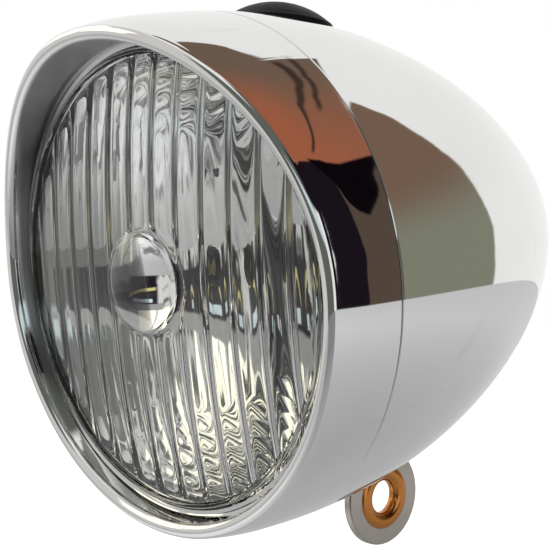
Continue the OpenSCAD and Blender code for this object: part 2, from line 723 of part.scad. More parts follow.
// Clear dome over the disc
module led_dome() {
    color("lightcyan", 0.5) lamp() difference() {
        translate([0, board_y - chip_t, 0]) sphere(r = dome_r);
        rod_y(2 * dome_r, board_y - chip_t, board_y + dome_r);
        rod_y(glow_r + 0.05, board_y - chip_t - glow_t - 0.05, board_y);
    }
}

rear_shell();
mount_tab();
tab_bush();
tab_screws();
lock_screw();
lock_nut();
battery_tray();
tray_screws();
cell_top();
cell_middle();
cell_bottom();
contact_plates();
contact_springs();
contact_pins();
switch_board();
switch_screws();
switch_body();
switch_plunger();
button_cap();
bezel();
seal_ring();
lens();
lens_gasket();
reflector();
retaining_ring();
led_board();
board_screws();
contact_pads();
driver_parts();
led_collar();
led_package();
led_phosphor();
led_dome();
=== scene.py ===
"""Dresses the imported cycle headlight: chrome, fluted lens, reflector, rubber button and tab."""

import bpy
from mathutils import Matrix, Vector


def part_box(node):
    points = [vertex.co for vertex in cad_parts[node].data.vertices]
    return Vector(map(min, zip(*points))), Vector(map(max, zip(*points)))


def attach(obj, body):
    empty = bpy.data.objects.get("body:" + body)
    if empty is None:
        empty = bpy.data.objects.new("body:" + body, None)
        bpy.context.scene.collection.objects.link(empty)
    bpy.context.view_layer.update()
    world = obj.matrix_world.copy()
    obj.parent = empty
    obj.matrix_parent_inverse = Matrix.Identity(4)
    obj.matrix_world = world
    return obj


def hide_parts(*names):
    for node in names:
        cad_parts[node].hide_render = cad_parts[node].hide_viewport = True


bl_info = {
    "name": "Bullet Headlight",
    "version": (1, 0, 0),
    "blender": (4, 5, 0),
    "location": "View3D > Sidebar > Headlight",
    "description": "Builds the visible pieces and finishes of a bullet-shaped cycle headlight",
    "category": "Object",
}

from functools import partial, reduce
from math import asin, atan2, copysign, cos, degrees, hypot, pi, radians, sin, sqrt

import bmesh
import bpy
from bpy.props import FloatProperty, FloatVectorProperty, IntProperty, PointerProperty
from mathutils import Matrix, Vector

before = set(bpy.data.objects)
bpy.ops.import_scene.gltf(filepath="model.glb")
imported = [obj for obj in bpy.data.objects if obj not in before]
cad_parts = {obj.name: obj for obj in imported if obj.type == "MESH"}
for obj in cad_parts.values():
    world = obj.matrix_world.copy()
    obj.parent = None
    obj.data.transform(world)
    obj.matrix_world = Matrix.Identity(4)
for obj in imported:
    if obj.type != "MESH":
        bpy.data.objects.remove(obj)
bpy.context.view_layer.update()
SHELL_LOW, SHELL_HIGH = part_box("rear_shell")

MM = 0.001
TURN = 2 * pi
# One radian in degrees
RADIAN = degrees(1)
# Points nearer than this, in millimetres, are one point
WELD = 1e-4
# The seam's centre: the lamp's own frame has its origin there, with the axis along Y
SEAM_CENTRE = Vector((0, SHELL_LOW.y, (SHELL_LOW.z + SHELL_HIGH.z) / 2))
TO_PART = Matrix.Translation(SEAM_CENTRE) @ Matrix.Scale(MM, 4)
LAMP_FRAME = Matrix.Identity(4)
LEAN = Matrix.Rotation(pi / 2, 4, "X")


# Sizes and colours


def length(label, text, value, low, high):
    return FloatProperty(
        name=label, description=text, default=value * MM, min=low * MM, max=high * MM,
        precision=5, subtype="DISTANCE", unit="LENGTH",
    )


def amount(label, text, value, high, **more):
    return FloatProperty(name=label, description=text, default=value, min=0, max=high, **more)


def colour(label, text, value):
    return FloatVectorProperty(
        name=label, description=text, default=(*value, 1), size=4, min=0, max=1, subtype="COLOR"
    )


class HeadlightSizes(bpy.types.PropertyGroup):
    """Sizes of the pieces that replace the plain solids"""

    seam_radius: length("Seam radius", "Outer radius at the seam between bezel and shell", 38, 37, 42)
    tail_radius: length("Tail radius", "Radius of the round tail", 21.4, 19, 24)
    tail_place: length("Tail place", "Distance of the tail's centre behind the seam", 46.4, 44, 54)
    shell_wall: length("Shell wall", "Thickness of the rear shell", 1.6, 1.2, 2)
    mouth_length: length("Mouth length", "Depth of the bore for the bezel's skirt", 7.8, 7.2, 10)
    rim_reach: length("Rim reach", "Reach of the rim in front of the seam", 12.1, 11.5, 15)
    hood_reach: length("Hood reach", "How much further the hood's peak reaches", 7.4, 3, 9)
    bezel_curve: length("Bezel curve", "Radius of the bezel's outline from the side", 130, 100, 200)
    lip_width: length("Lip width", "Width of the rolled lip", 2.2, 1.8, 2.8)
    flute_pitch: length("Flute pitch", "Distance between two flutes of the lens", 5.1, 4, 7)
    flute_depth: length("Flute depth", "Depth of a flute", 0.9, 0.5, 1)
    flute_count: IntProperty(
        name="Flutes", description="Number of flutes across the lens", default=13, min=9, max=17
    )
    bull_radius: length("Centre lens", "Radius of the round lens in the centre", 7.25, 5, 9)
    button_radius: length("Button radius", "Radius of the rubber button", 8.3, 7, 8.5)
    button_height: length("Button height", "Height of the button above the shell", 2.65, 2, 3.5)
    button_place: length("Button place", "Distance of the button behind the seam", 16.6, 16, 18)
    bolt_radius: length("Bolt hole", "Radius of the bolt hole in the eyelet", 2.65, 2.1, 3.2)


class HeadlightFinishes(bpy.types.PropertyGroup):
    """Colours of the finishes"""

    chrome: colour("Chrome", "Polished chrome plating", (0.80, 0.80, 0.80))
    plate: colour("Tab plating", "Bright plated steel of the tab", (0.46, 0.42, 0.38))
    copper: colour("Copper", "Polished copper of the eyelet", (0.54, 0.215, 0.055))
    rubber: colour("Rubber", "Black rubber of the button", (0.004, 0.003, 0.0035))
    glass: colour("Lens", "Clear moulded lens", (0.985, 0.99, 0.985))
    mirror: colour("Reflector", "Metallised bowl of the reflector", (0.86, 0.86, 0.85))
    moulding: colour("Moulding", "Black plastic inside the lamp", (0.022, 0.022, 0.023))
    jacket: colour("Cell jacket", "Printed jacket of the cells", (0.10, 0.13, 0.17))
    board: colour("Circuit board", "Solder mask of the boards", (0.012, 0.075, 0.035))
    phosphor: colour("Phosphor", "Yellow phosphor of the light source", (0.85, 0.62, 0.06))


class HeadlightStage(bpy.types.PropertyGroup):
    """Light, floor and the studio that the chrome reflects"""

    key_power: amount(
        "Key lamp", "Power of the large soft lamp", 2.2, 20, subtype="POWER", unit="POWER"
    )
    fill_power: amount(
        "Fill lamp", "Power of the fill lamp", 0.8, 20, subtype="POWER", unit="POWER"
    )
    surround: amount("Surround", "Strength of the pale light from all round", 0.75, 2)
    floor_drop: length("Floor drop", "Distance of the floor below the bolt hole", 130, 9, 500)
    floor_radius: length("Floor radius", "Radius of the round floor", 820, 400, 4000)
    backdrop: colour("Backdrop", "Pale studio that the metal reflects", (0.95, 0.95, 0.93))
    timber: colour("Timber", "Warm boards of the studio", (0.40, 0.125, 0.062))
    beam: colour("Beam", "Dull brown of the boards further off", (0.17, 0.118, 0.085))
    wall: colour("Wall", "Olive grey foot of the studio's wall", (0.242, 0.25, 0.185))
    umber: colour("Umber", "Brown upper part of the wall", (0.205, 0.128, 0.088))
    strip: colour("Strip", "Dull strip beside the wall", (0.103, 0.072, 0.055))
    shade: colour("Shade", "Darkest part of the studio", (0.011, 0.007, 0.012))
    front: colour("Front", "Dim part of the studio behind the camera", (0.13, 0.14, 0.125))
    room: colour("Room", "Half light at the studio's left", (0.70, 0.69, 0.67))
    window: colour("Window", "Bright window at the studio's left", (1.0, 0.95, 0.76))
    sky: colour("Sky", "Bluish window at the studio's right", (0.66, 0.78, 0.80))
    gilt: colour("Gilt", "Yellow streak before the dark skyline", (0.66, 0.58, 0.24))


def mm(value):
    return value / MM


def evenly(start, end, steps):
    """Values from start to end in even steps, both ends with them"""
    return [start + (end - start) * i / steps for i in range(steps + 1)]


class Plan:
    """Every measure of the lamp in millimetres, in the lamp's own frame"""

    def __init__(self, sizes):
        self.seam_r = mm(sizes.seam_radius)
        self.tail_r = mm(sizes.tail_radius)
        self.tail_y = mm(sizes.tail_place)
        self.wall = mm(sizes.shell_wall)
        self.mouth_len = mm(sizes.mouth_length)
        drop = self.seam_r - self.tail_r
        self.arc_r = (self.tail_y**2 + self.seam_r**2 - self.tail_r**2) / (2 * drop)
        self.tail_angle = atan2(self.tail_y, self.arc_r - self.seam_r)
        self.mouth_r = self.seam_r - self.wall
        # Bezel
        self.rim = mm(sizes.rim_reach)
        self.hood = mm(sizes.hood_reach)
        self.bezel_arc = mm(sizes.bezel_curve)
        self.lip_r = mm(sizes.lip_width) / 2
        self.skirt_r = self.mouth_r - 0.3
        self.skirt_len = 6.5
        self.pocket_r = self.skirt_r - 1.5
        self.open_r = self.pocket_r - 1.2
        self.seat_back = 8.0
        self.seat_front = 9.2
        self.seam_gap = 0.14
        self.shoulder_len = 5.5
        self.shoulder_in = 0.35
        self.hood_z = self.seam_r - self.hood**2 / self.bezel_arc - 1
        self.hood_arc = (self.hood_z**2 + self.hood**2) / (2 * self.hood)
        # Lens and reflector
        self.pitch = mm(sizes.flute_pitch)
        self.flute_d = mm(sizes.flute_depth)
        self.flutes = sizes.flute_count
        self.bull_r = mm(sizes.bull_radius)
        self.part_r = self.pocket_r - 0.1
        self.flute_r = self.open_r - 1.2
        self.border = self.seat_front + 0.6
        self.dome_rise = 2.8
        self.bull_y = self.border + self.dome_rise + 0.9
        self.bull_crown = 2.5
        self.lens_rear = self.border - 1.4
        self.flute_arc = self.flute_r**2 / (2 * self.dome_rise)
        self.gasket_back = self.seat_back - 0.6
        self.lens_back = self.gasket_back - 1.8
        self.bowl_back = self.lens_back - 1.2
        self.bowl_r = self.flute_r + 0.6
        self.bowl_hole_r = 3.1
        self.bowl_wall = 1.5
        self.bowl_d = 13.6
        self.hole_y = self.bowl_d - self.lens_back
        self.focal = (self.bowl_r**2 - self.bowl_hole_r**2) / (4 * self.bowl_d)
        self.board_y = self.hole_y + 2
        self.dome_r = 1.4
        self.chip_t = 1.0
        self.glow_r = 1.0
        self.glow_t = 0.3
        # Button
        self.btn_r = mm(sizes.button_radius)
        self.btn_out = mm(sizes.button_height)
        self.btn_y = mm(sizes.button_place)
        self.btn_tilt = asin(self.btn_y / self.arc_r)
        self.btn_hole_r = self.btn_r + 0.3
        self.guide_r = self.btn_r + 1.3
        self.guide_out = self.guide_r + 1.3
        self.guide_depth = 9.4
        self.stem_end = 4.0
        self.post_r = 2.6
        skin = self.shell_r(self.btn_y)
        self.roof = skin - sqrt((skin - self.wall) ** 2 - self.guide_r**2)
        # Tab
        self.lug_y = -SEAM_CENTRE.y / MM
        self.lug_drop = SEAM_CENTRE.z / MM
        self.bolt_r = mm(sizes.bolt_radius)
        self.tab_t = 1.6
        self.tab_w = 13
        self.neck_r = 3
        self.lug_r = 8.1
        self.bush_r = 5.35
        self.bush_out = 0.45
        self.bush_neck_r = self.bolt_r + 0.9
        self.bush_play = 0.05
        self.foot_w = 20
        self.foot_d = 15
        self.foot_x = 6.6
        self.foot_drop = self.shell_r(self.lug_y) - 7.95
        self.lock_y = 4.7
        # Bosses inside the shell
        self.tray_boss_r = 3
        self.tray_boss_len = 4.0
        self.tray_boss_end = 39.5
        self.tray_screw_head = 2.34
        self.tab_boss_r = 3.2

    def shell_r(self, y):
        """Radius of the shell's arc at a distance behind the seam"""
        return self.seam_r - self.arc_r + sqrt(self.arc_r**2 - y * y)

    def shell_line(self, inset=0.0, start=0.0, arc_steps=72, tail_steps=36):
        """Side outline of the shell from its mouth to the axis, as radius and place"""
        radius = self.arc_r - inset
        first = asin(start / radius)
        tail = self.tail_r - inset
        line = [
            (self.seam_r - self.arc_r + radius * cos(a), radius * sin(a))
            for a in evenly(first, self.tail_angle, arc_steps)
        ]
        line += [
            (tail * cos(a), self.tail_y + tail * sin(a))
            for a in evenly(self.tail_angle, pi / 2, tail_steps)[1:]
        ]
        line[-1] = (0.0, line[-1][1])
        return line

    def shell_skin(self, point):
        """Distance of a point from the shell's outer skin, and the skin's normal there"""
        r = hypot(point.x, point.z)
        if atan2(point.y, r - self.seam_r + self.arc_r) < self.tail_angle:
            centre_r, centre_y, radius = self.seam_r - self.arc_r, 0.0, self.arc_r
        else:
            centre_r, centre_y, radius = 0.0, self.tail_y, self.tail_r
        out_r, out_y = r - centre_r, point.y - centre_y
        reach = hypot(out_r, out_y)
        side = Vector((point.x, 0, point.z)) / r if r > 1e-6 else Vector((0, 0, 0))
        return reach - radius, (side * out_r + Vector((0, out_y, 0))) / reach

    def bezel_r(self, d):
        return self.seam_r - d * d / (2 * self.bezel_arc)

    def draw_in(self, d, lip):
        """How far the softened shoulder draws in behind the lip"""
        return self.shoulder_in * max(0.0, 1 + (d - lip) / self.shoulder_len) ** 2

    def rim_at(self, cosine):
        """Reach of the rim at an angle from the top"""
        z = max(0.0, self.hood_z * cosine)
        return self.rim + self.hood_arc - sqrt(self.hood_arc**2 - z * z)

    def bowl_y(self, r):
        return self.hole_y + (self.bowl_hole_r**2 - r * r) / (4 * self.focal)

    def dome_y(self, r):
        """Place of the lens front between its border and the centre lens"""
        share = (r - self.bull_r) / (self.flute_r - self.bull_r)
        return -self.border - self.dome_rise * (1 - share * share)

    def button_frame(self):
        """The button's frame: origin on the shell's skin, +Z along its outward normal"""
        place = Matrix.Translation((0, self.btn_y, self.shell_r(self.btn_y)))
        return place @ Matrix.Rotation(-self.btn_tilt, 4, "X")


def plan_and_finishes(context):
    return Plan(context.scene.headlight_sizes), context.scene.headlight_finishes


# Shared shaping steps


def draw_line(bm, line, closed=False):
    """A line of radius and place in the plane of X = 0, as vertices and edges"""
    verts = [bm.verts.new((0, y, r)) for r, y in line]
    pairs = zip(verts, verts[1:] + verts[:1] if closed else verts[1:])
    return verts, [bm.edges.new(pair) for pair in pairs]


def turn(bm, line, steps, closed=False):
    """Spins a line of radius and place about the lamp's axis"""
    verts, edges = draw_line(bm, line, closed)
    bmesh.ops.spin(
        bm, geom=verts + edges, cent=(0, 0, 0), axis=(0, 1, 0), angle=TURN, steps=steps,
        use_merge=True,
    )
    bmesh.ops.remove_doubles(bm, verts=bm.verts[:], dist=WELD)


def arc(centre_r, centre_y, radius, start, end, steps):
    """Points of radius and place on an arc, angles in degrees from the radius towards +Y"""
    return [
        (centre_r + radius * cos(a), centre_y + radius * sin(a))
        for a in evenly(radians(start), radians(end), steps)
    ]


def rod(bm, radius, depth, matrix, segments=40):
    """A closed rod along its own Z, centred on the matrix"""
    bmesh.ops.create_cone(
        bm, cap_ends=True, cap_tris=False, segments=segments, radius1=radius, radius2=radius,
        depth=depth, matrix=matrix,
    )


def along_y(x, y, z):
    return Matrix.Translation((x, y, z)) @ LEAN


def block(bm, low, high):
    """A box between two corners"""
    low, high = Vector(low), Vector(high)
    place = Matrix.Translation((low + high) / 2) @ Matrix.Diagonal((*(high - low), 1))
    return bmesh.ops.create_cube(bm, size=1, matrix=place)["verts"]


def soften(bm, verts, width, segments=3, angle=40):
    """Bevels the edges of some vertices that are sharper than an angle"""
    chosen = set(verts)
    edges = [
        e for e in bm.edges
        if chosen.issuperset(e.verts) and e.is_manifold and e.calc_face_angle() > radians(angle)
    ]
    bmesh.ops.bevel(
        bm, geom=edges, offset=width, offset_type="OFFSET", affect="EDGES", segments=segments,
        profile=0.5, material=-1, clamp_overlap=True,
    )


def smooth(mesh, angle):
    """Smooth faces, but for edges that bend more than an angle"""
    mesh.polygons.foreach_set("use_smooth", [True] * len(mesh.polygons))
    mesh.set_sharp_from_angle(angle=radians(angle))


def put(name, data):
    """A new object with its data, in the scene"""
    made = bpy.data.objects.new(name, data)
    bpy.context.scene.collection.objects.link(made)
    return made


def finish_mesh(bm, name, sharp=32, place=TO_PART):
    """Closes a mesh, turns its faces outwards and puts it at its place in the part's frame"""
    bmesh.ops.remove_doubles(bm, verts=bm.verts[:], dist=WELD)
    if not all(e.is_manifold for e in bm.edges):
        raise RuntimeError(f"{name} isn't closed with these sizes")
    bmesh.ops.recalc_face_normals(bm, faces=bm.faces[:])
    bmesh.ops.transform(bm, matrix=place, verts=bm.verts[:])
    mesh = bpy.data.meshes.new(name)
    bm.to_mesh(mesh)
    bm.free()
    smooth(mesh, sharp)
    return put(name, mesh)


def cut(piece, cutter_bm, sharp=32):
    """Takes a shape in the lamp's frame out of a piece, and smooths the piece again"""
    cutter = finish_mesh(cutter_bm, f"{piece.name}_cutter", place=LAMP_FRAME)
    boolean = piece.modifiers.new("cut", "BOOLEAN")
    boolean.operation, boolean.solver, boolean.object = "DIFFERENCE", "EXACT", cutter
    bpy.context.view_layer.update()
    shaped = piece.evaluated_get(bpy.context.evaluated_depsgraph_get())
    mesh = bpy.data.meshes.new_from_object(shaped)
    if not mesh.polygons:
        raise RuntimeError(f"Nothing is left of {piece.name} after its cut")
    piece.modifiers.clear()
    old = piece.data
    piece.data = mesh
    mesh.name = old.name
    smooth(mesh, sharp)
    bpy.data.meshes.remove(old)
    bpy.data.objects.remove(cutter)


def dress(piece, material, body, slot, *nodes):
    """Gives a piece its material and its body, and hides the CAD nodes it stands for. The slot is not
    used
    """
    piece.data.materials.clear()
    piece.data.materials.append(material)
    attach(piece, body)
    if nodes:
        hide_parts(*nodes)


def paint(material, *nodes):
    """Gives CAD nodes that stay a better material"""
    for name in nodes:
        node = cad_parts[name]
        node.data.materials.clear()
        node.data.materials.append(material)


# Material building


def feed(tree, node, inputs):
    """Gives a node's inputs their values or their links"""
    for key, value in inputs.items():
        if isinstance(value, bpy.types.NodeSocket):
            tree.links.new(value, node.inputs[key])
        else:
            node.inputs[key].default_value = value


def add(tree, kind, inputs=None, **settings):
    """A node with its settings, its values and its links in one step"""
    made = tree.nodes.new(kind)
    for key, value in settings.items():
        setattr(made, key, value)
    feed(tree, made, inputs or {})
    return made


def maths(tree, operation, *values):
    return add(tree, "ShaderNodeMath", dict(enumerate(values)), operation=operation).outputs[0]


def times(tree, *values):
    return reduce(partial(maths, tree, "MULTIPLY"), values)


def most(tree, *values):
    return reduce(partial(maths, tree, "MAXIMUM"), values)


def plus(tree, *values):
    return reduce(partial(maths, tree, "ADD"), values)


def minus(tree, first, second):
    return maths(tree, "SUBTRACT", first, second)


def spread(tree, value, low, high, to_low=0.0, to_high=1.0, kind="SMOOTHSTEP"):
    """A value moved from one range to another, with soft ends"""
    inputs = {0: value, 1: low, 2: high, 3: to_low, 4: to_high}
    return add(tree, "ShaderNodeMapRange", inputs, interpolation_type=kind).outputs[0]


def lerp(tree, share, low, high):
    """A value that runs evenly from low to high as a share goes from 0 to 1"""
    return spread(tree, share, 0, 1, low, high, "LINEAR")


def mix(tree, share, first, second, kind="MIX"):
    inputs = {0: share, 6: first, 7: second}
    return add(tree, "ShaderNodeMix", inputs, data_type="RGBA", blend_type=kind).outputs[2]


def own_place(tree):
    return tree.nodes.new("ShaderNodeTexCoord").outputs["Object"]


def mapped(tree, **mapping):
    return add(tree, "ShaderNodeMapping", {"Vector": own_place(tree), **mapping}).outputs[0]


def axis_of(tree, vector, axis):
    return add(tree, "ShaderNodeSeparateXYZ", {0: vector}).outputs[axis]


def length_of(tree, vector):
    return add(tree, "ShaderNodeVectorMath", {0: vector}, operation="LENGTH").outputs["Value"]


def noise(tree, place, scale, detail, **more):
    inputs = {"Vector": place, "Scale": scale, "Detail": detail, **more}
    return add(tree, "ShaderNodeTexNoise", inputs).outputs["Fac"]


def specks(tree, scale, edge, channel, chosen):
    """Round specks in a few of the cells: where a speck ends, and which cells have one"""
    cells = add(tree, "ShaderNodeTexVoronoi", {"Vector": mapped(tree), "Scale": scale}).outputs
    lot = add(tree, "ShaderNodeSeparateColor", {0: cells["Color"]}).outputs[channel]
    return times(tree, spread(tree, cells["Distance"], *edge), spread(tree, lot, *chosen))


# Each family of scratches: how it is turned, and how it is stretched along its own axes
SCRATCHES = (
    ((0.3, 0.9, 0.2), (30, 900, 60)),
    ((1.1, 0.2, 0.8), (700, 24, 50)),
    ((0.5, 1.4, 2.2), (40, 60, 800)),
)


def polish_marks(tree, given):
    """Hairline scratches in three directions, tiny nicks and hand haze of a polished surface"""
    marks = 0.0
    for k, (turned, stretch) in enumerate(SCRATCHES):
        place = mapped(tree, Rotation=turned, Scale=stretch)
        lines = noise(tree, place, given["Scale"], 1.0, Roughness=0.4)
        marks = most(tree, marks, spread(tree, lines, 0.70 + 0.01 * k, 0.76))
    patches = spread(tree, noise(tree, mapped(tree), 55.0, 2.0), 0.45, 0.62)
    marks = times(tree, marks, patches, given["Scratches"])
    nicks = times(tree, specks(tree, 210.0, (0.09, 0.04), 0, (0.90, 0.93)), given["Nicks"])
    cloud = noise(tree, mapped(tree, Scale=(1, 0.6, 1)), 38.0, 4.0, Distortion=0.6)
    haze = times(tree, spread(tree, cloud, 0.42, 0.75), given["Haze"])
    mask = most(tree, marks, nicks)
    return {"Mask": mask, "Height": times(tree, mask, -1.0), "Haze": haze}


def fine_grain(tree, given):
    """Fine even grain of moulded plastic and rubber, with a slow change of tone and dust"""
    tone = noise(tree, mapped(tree), given["Tone"], 4.0)
    grain = noise(tree, mapped(tree), given["Grain"], 3.0, Roughness=0.6)
    dust = times(tree, specks(tree, 900.0, (0.30, 0.12), 1, (0.93, 0.96)), given["Dust"])
    return {"Height": grain, "Tone": spread(tree, tone, 0.3, 0.7), "Dust": dust}


# The shared shader node groups, each with its function and its inputs' usual values
GROUPS = {
    "Polish marks": (polish_marks, {"Scale": 1.0, "Scratches": 0.5, "Nicks": 0.5, "Haze": 0.5}),
    "Fine grain": (fine_grain, {"Grain": 2600.0, "Tone": 120.0, "Dust": 0.3}),
}


def place_group(tree, name, **values):
    """Places a shared node group in a material, and makes the group the first time"""
    group = bpy.data.node_groups.get(name)
    if group is None:
        group = bpy.data.node_groups.new(name, "ShaderNodeTree")
        new_socket = partial(group.interface.new_socket, socket_type="NodeSocketFloat")
        make, inputs = GROUPS[name]
        for label, value in inputs.items():
            new_socket(label, in_out="INPUT").default_value = value
        made = make(group, group.nodes.new("NodeGroupInput").outputs)
        for label in made:
            new_socket(label, in_out="OUTPUT")
        feed(group, group.nodes.new("NodeGroupOutput"), made)
    node = add(tree, "ShaderNodeGroup", node_tree=group)
    feed(tree, node, values)
    return node.outputs


def new_material(name, **sockets):
    """A Principled material; what is the same all over is set on its own sockets. The tree is
    None when the material was made before"""
    if name in bpy.data.materials:
        return bpy.data.materials[name], None, None
    material = bpy.data.materials.new(name)
    material.use_nodes = True
    shader = material.node_tree.nodes["Principled BSDF"]
    for key, value in sockets.items():
        shader.inputs[key.replace("_", " ")].default_value = value
    return material, material.node_tree, shader


def coat(tree, shader, rough, height, strength, depth, **colours):
    """Connects the roughness, the raised surface and the colours that vary over a material"""
    bump = {"Height": height, "Strength": strength, "Distance": depth * MM}
    normal = add(tree, "ShaderNodeBump", bump).outputs[0]
    inputs = {key.replace("_", " "): value for key, value in colours.items()}
    feed(tree, shader, {"Roughness": rough, "Normal": normal, **inputs})


# How rough a satin wall is, and how dark its painted shade is where it is darkest
SATIN_ROUGH = 0.34
PAINTED_SHADE_TONE = 0.36


def scaled(value, factor):
    return (*(min(1.0, c * factor) for c in value[:3]), 1)


def polished_metal(name, base, tint, least, worn, dulled, bump=0.12, satin_and_shade=None, **marks):
    """Polished metal: roughness rises in scratches, nicks and haze, and its tone wanders a little.
    A function for satin with painted shade, where given, makes a mask of where the metal is satin
    and darkened to painted shade, and how far that painted shade lifts there"""
    material, tree, shader = new_material(name, Metallic=1.0)
    if tree is None:
        return material
    wear = place_group(tree, "Polish marks", **marks)
    rough = lerp(tree, wear["Haze"], least, least + dulled)
    rough = most(tree, rough, times(tree, wear["Mask"], worn))
    share = plus(tree, times(tree, wear["Haze"], 0.35), times(tree, wear["Mask"], 0.6))
    toned = mix(tree, share, base, tint)
    if satin_and_shade:
        mask, unshaded = satin_and_shade(tree)
        rough = most(tree, rough, times(tree, mask, SATIN_ROUGH))
        # Under the mask the colour darkens to painted shade inside the hood, lifting towards the peak
        toned = mix(tree, mask, toned, mix(tree, unshaded, scaled(base, PAINTED_SHADE_TONE), base))
    coat(tree, shader, rough, wear["Height"], bump, 0.04, Base_Color=toned)
    return material


def moulded(name, base, tint, least, rough, grain, bump, dust=0.3, shine=0.5):
    """Moulded plastic or rubber with grain, a change of tone and a little dust"""
    material, tree, shader = new_material(name, Specular_IOR_Level=shine)
    if tree is None:
        return material
    surface = place_group(tree, "Fine grain", Grain=grain, Tone=110.0, Dust=dust)
    toned = mix(tree, surface["Tone"], base, tint)
    toned = mix(tree, surface["Dust"], toned, (0.35, 0.34, 0.32, 1))
    rough = lerp(tree, surface["Tone"], least, rough)
    coat(tree, shader, rough, surface["Height"], bump, 0.05, Base_Color=toned)
    return material


def glass_finish(name, base, least, index):
    """Clear moulding with faint flow marks and a few specks"""
    material, tree, shader = new_material(
        name, Base_Color=base, Transmission_Weight=1.0, IOR=index
    )
    if tree is None:
        return material
    wear = place_group(tree, "Polish marks", Scale=0.8, Scratches=0.25, Nicks=0.6, Haze=0.6)
    rough = lerp(tree, wear["Haze"], least, least + 0.015)
    rough = most(tree, rough, times(tree, wear["Mask"], 0.3))
    coat(tree, shader, rough, wear["Height"], 0.1, 0.03)
    return material


# The hood's inner wall is satin with painted shade from its reach inwards, and both fade out low
# down. Its painted shade lifts from one height above the axis to another, towards the peak
WALL_REACH = (34.95 * MM, 34.6 * MM)
WALL_FADE = (-28 * MM, -14 * MM)
WALL_SHADE_LIFTS = (18 * MM, 33 * MM)


def hood_wall_satin_and_shade(tree):
    """Mask of the hood's inner wall, nearer to the axis than the lip, where it is satin with painted
    shade, and how far that painted shade lifts
    """
    flat = mapped(tree, Location=(0, 0, -SEAM_CENTRE.z), Scale=(1, 0, 1))
    rise = axis_of(tree, flat, 2)
    inside = spread(tree, length_of(tree, flat), *WALL_REACH)
    return times(tree, inside, spread(tree, rise, *WALL_FADE)), spread(tree, rise, *WALL_SHADE_LIFTS)


def chrome_finish(finishes, name="Polished chrome", satin_and_shade=None):
    return polished_metal(
        name, finishes.chrome, (0.62, 0.61, 0.59, 1), least=0.035, worn=0.30, dulled=0.035,
        satin_and_shade=satin_and_shade, Scale=1.0, Scratches=0.45, Nicks=0.8, Haze=0.7,
    )


def screw_finish():
    return polished_metal(
        "Zinc screws", (0.55, 0.55, 0.54, 1), (0.35, 0.34, 0.32, 1), least=0.22, worn=0.5,
        bump=0.4, dulled=0.2, Scale=2.0, Scratches=1.0, Nicks=1.0, Haze=1.0,
    )


def black_plastic(finishes):
    base = finishes.moulding
    return moulded("Black moulding", base, scaled(base, 1.7), 0.42, 0.55, grain=3200.0, bump=0.25)


# Rear shell


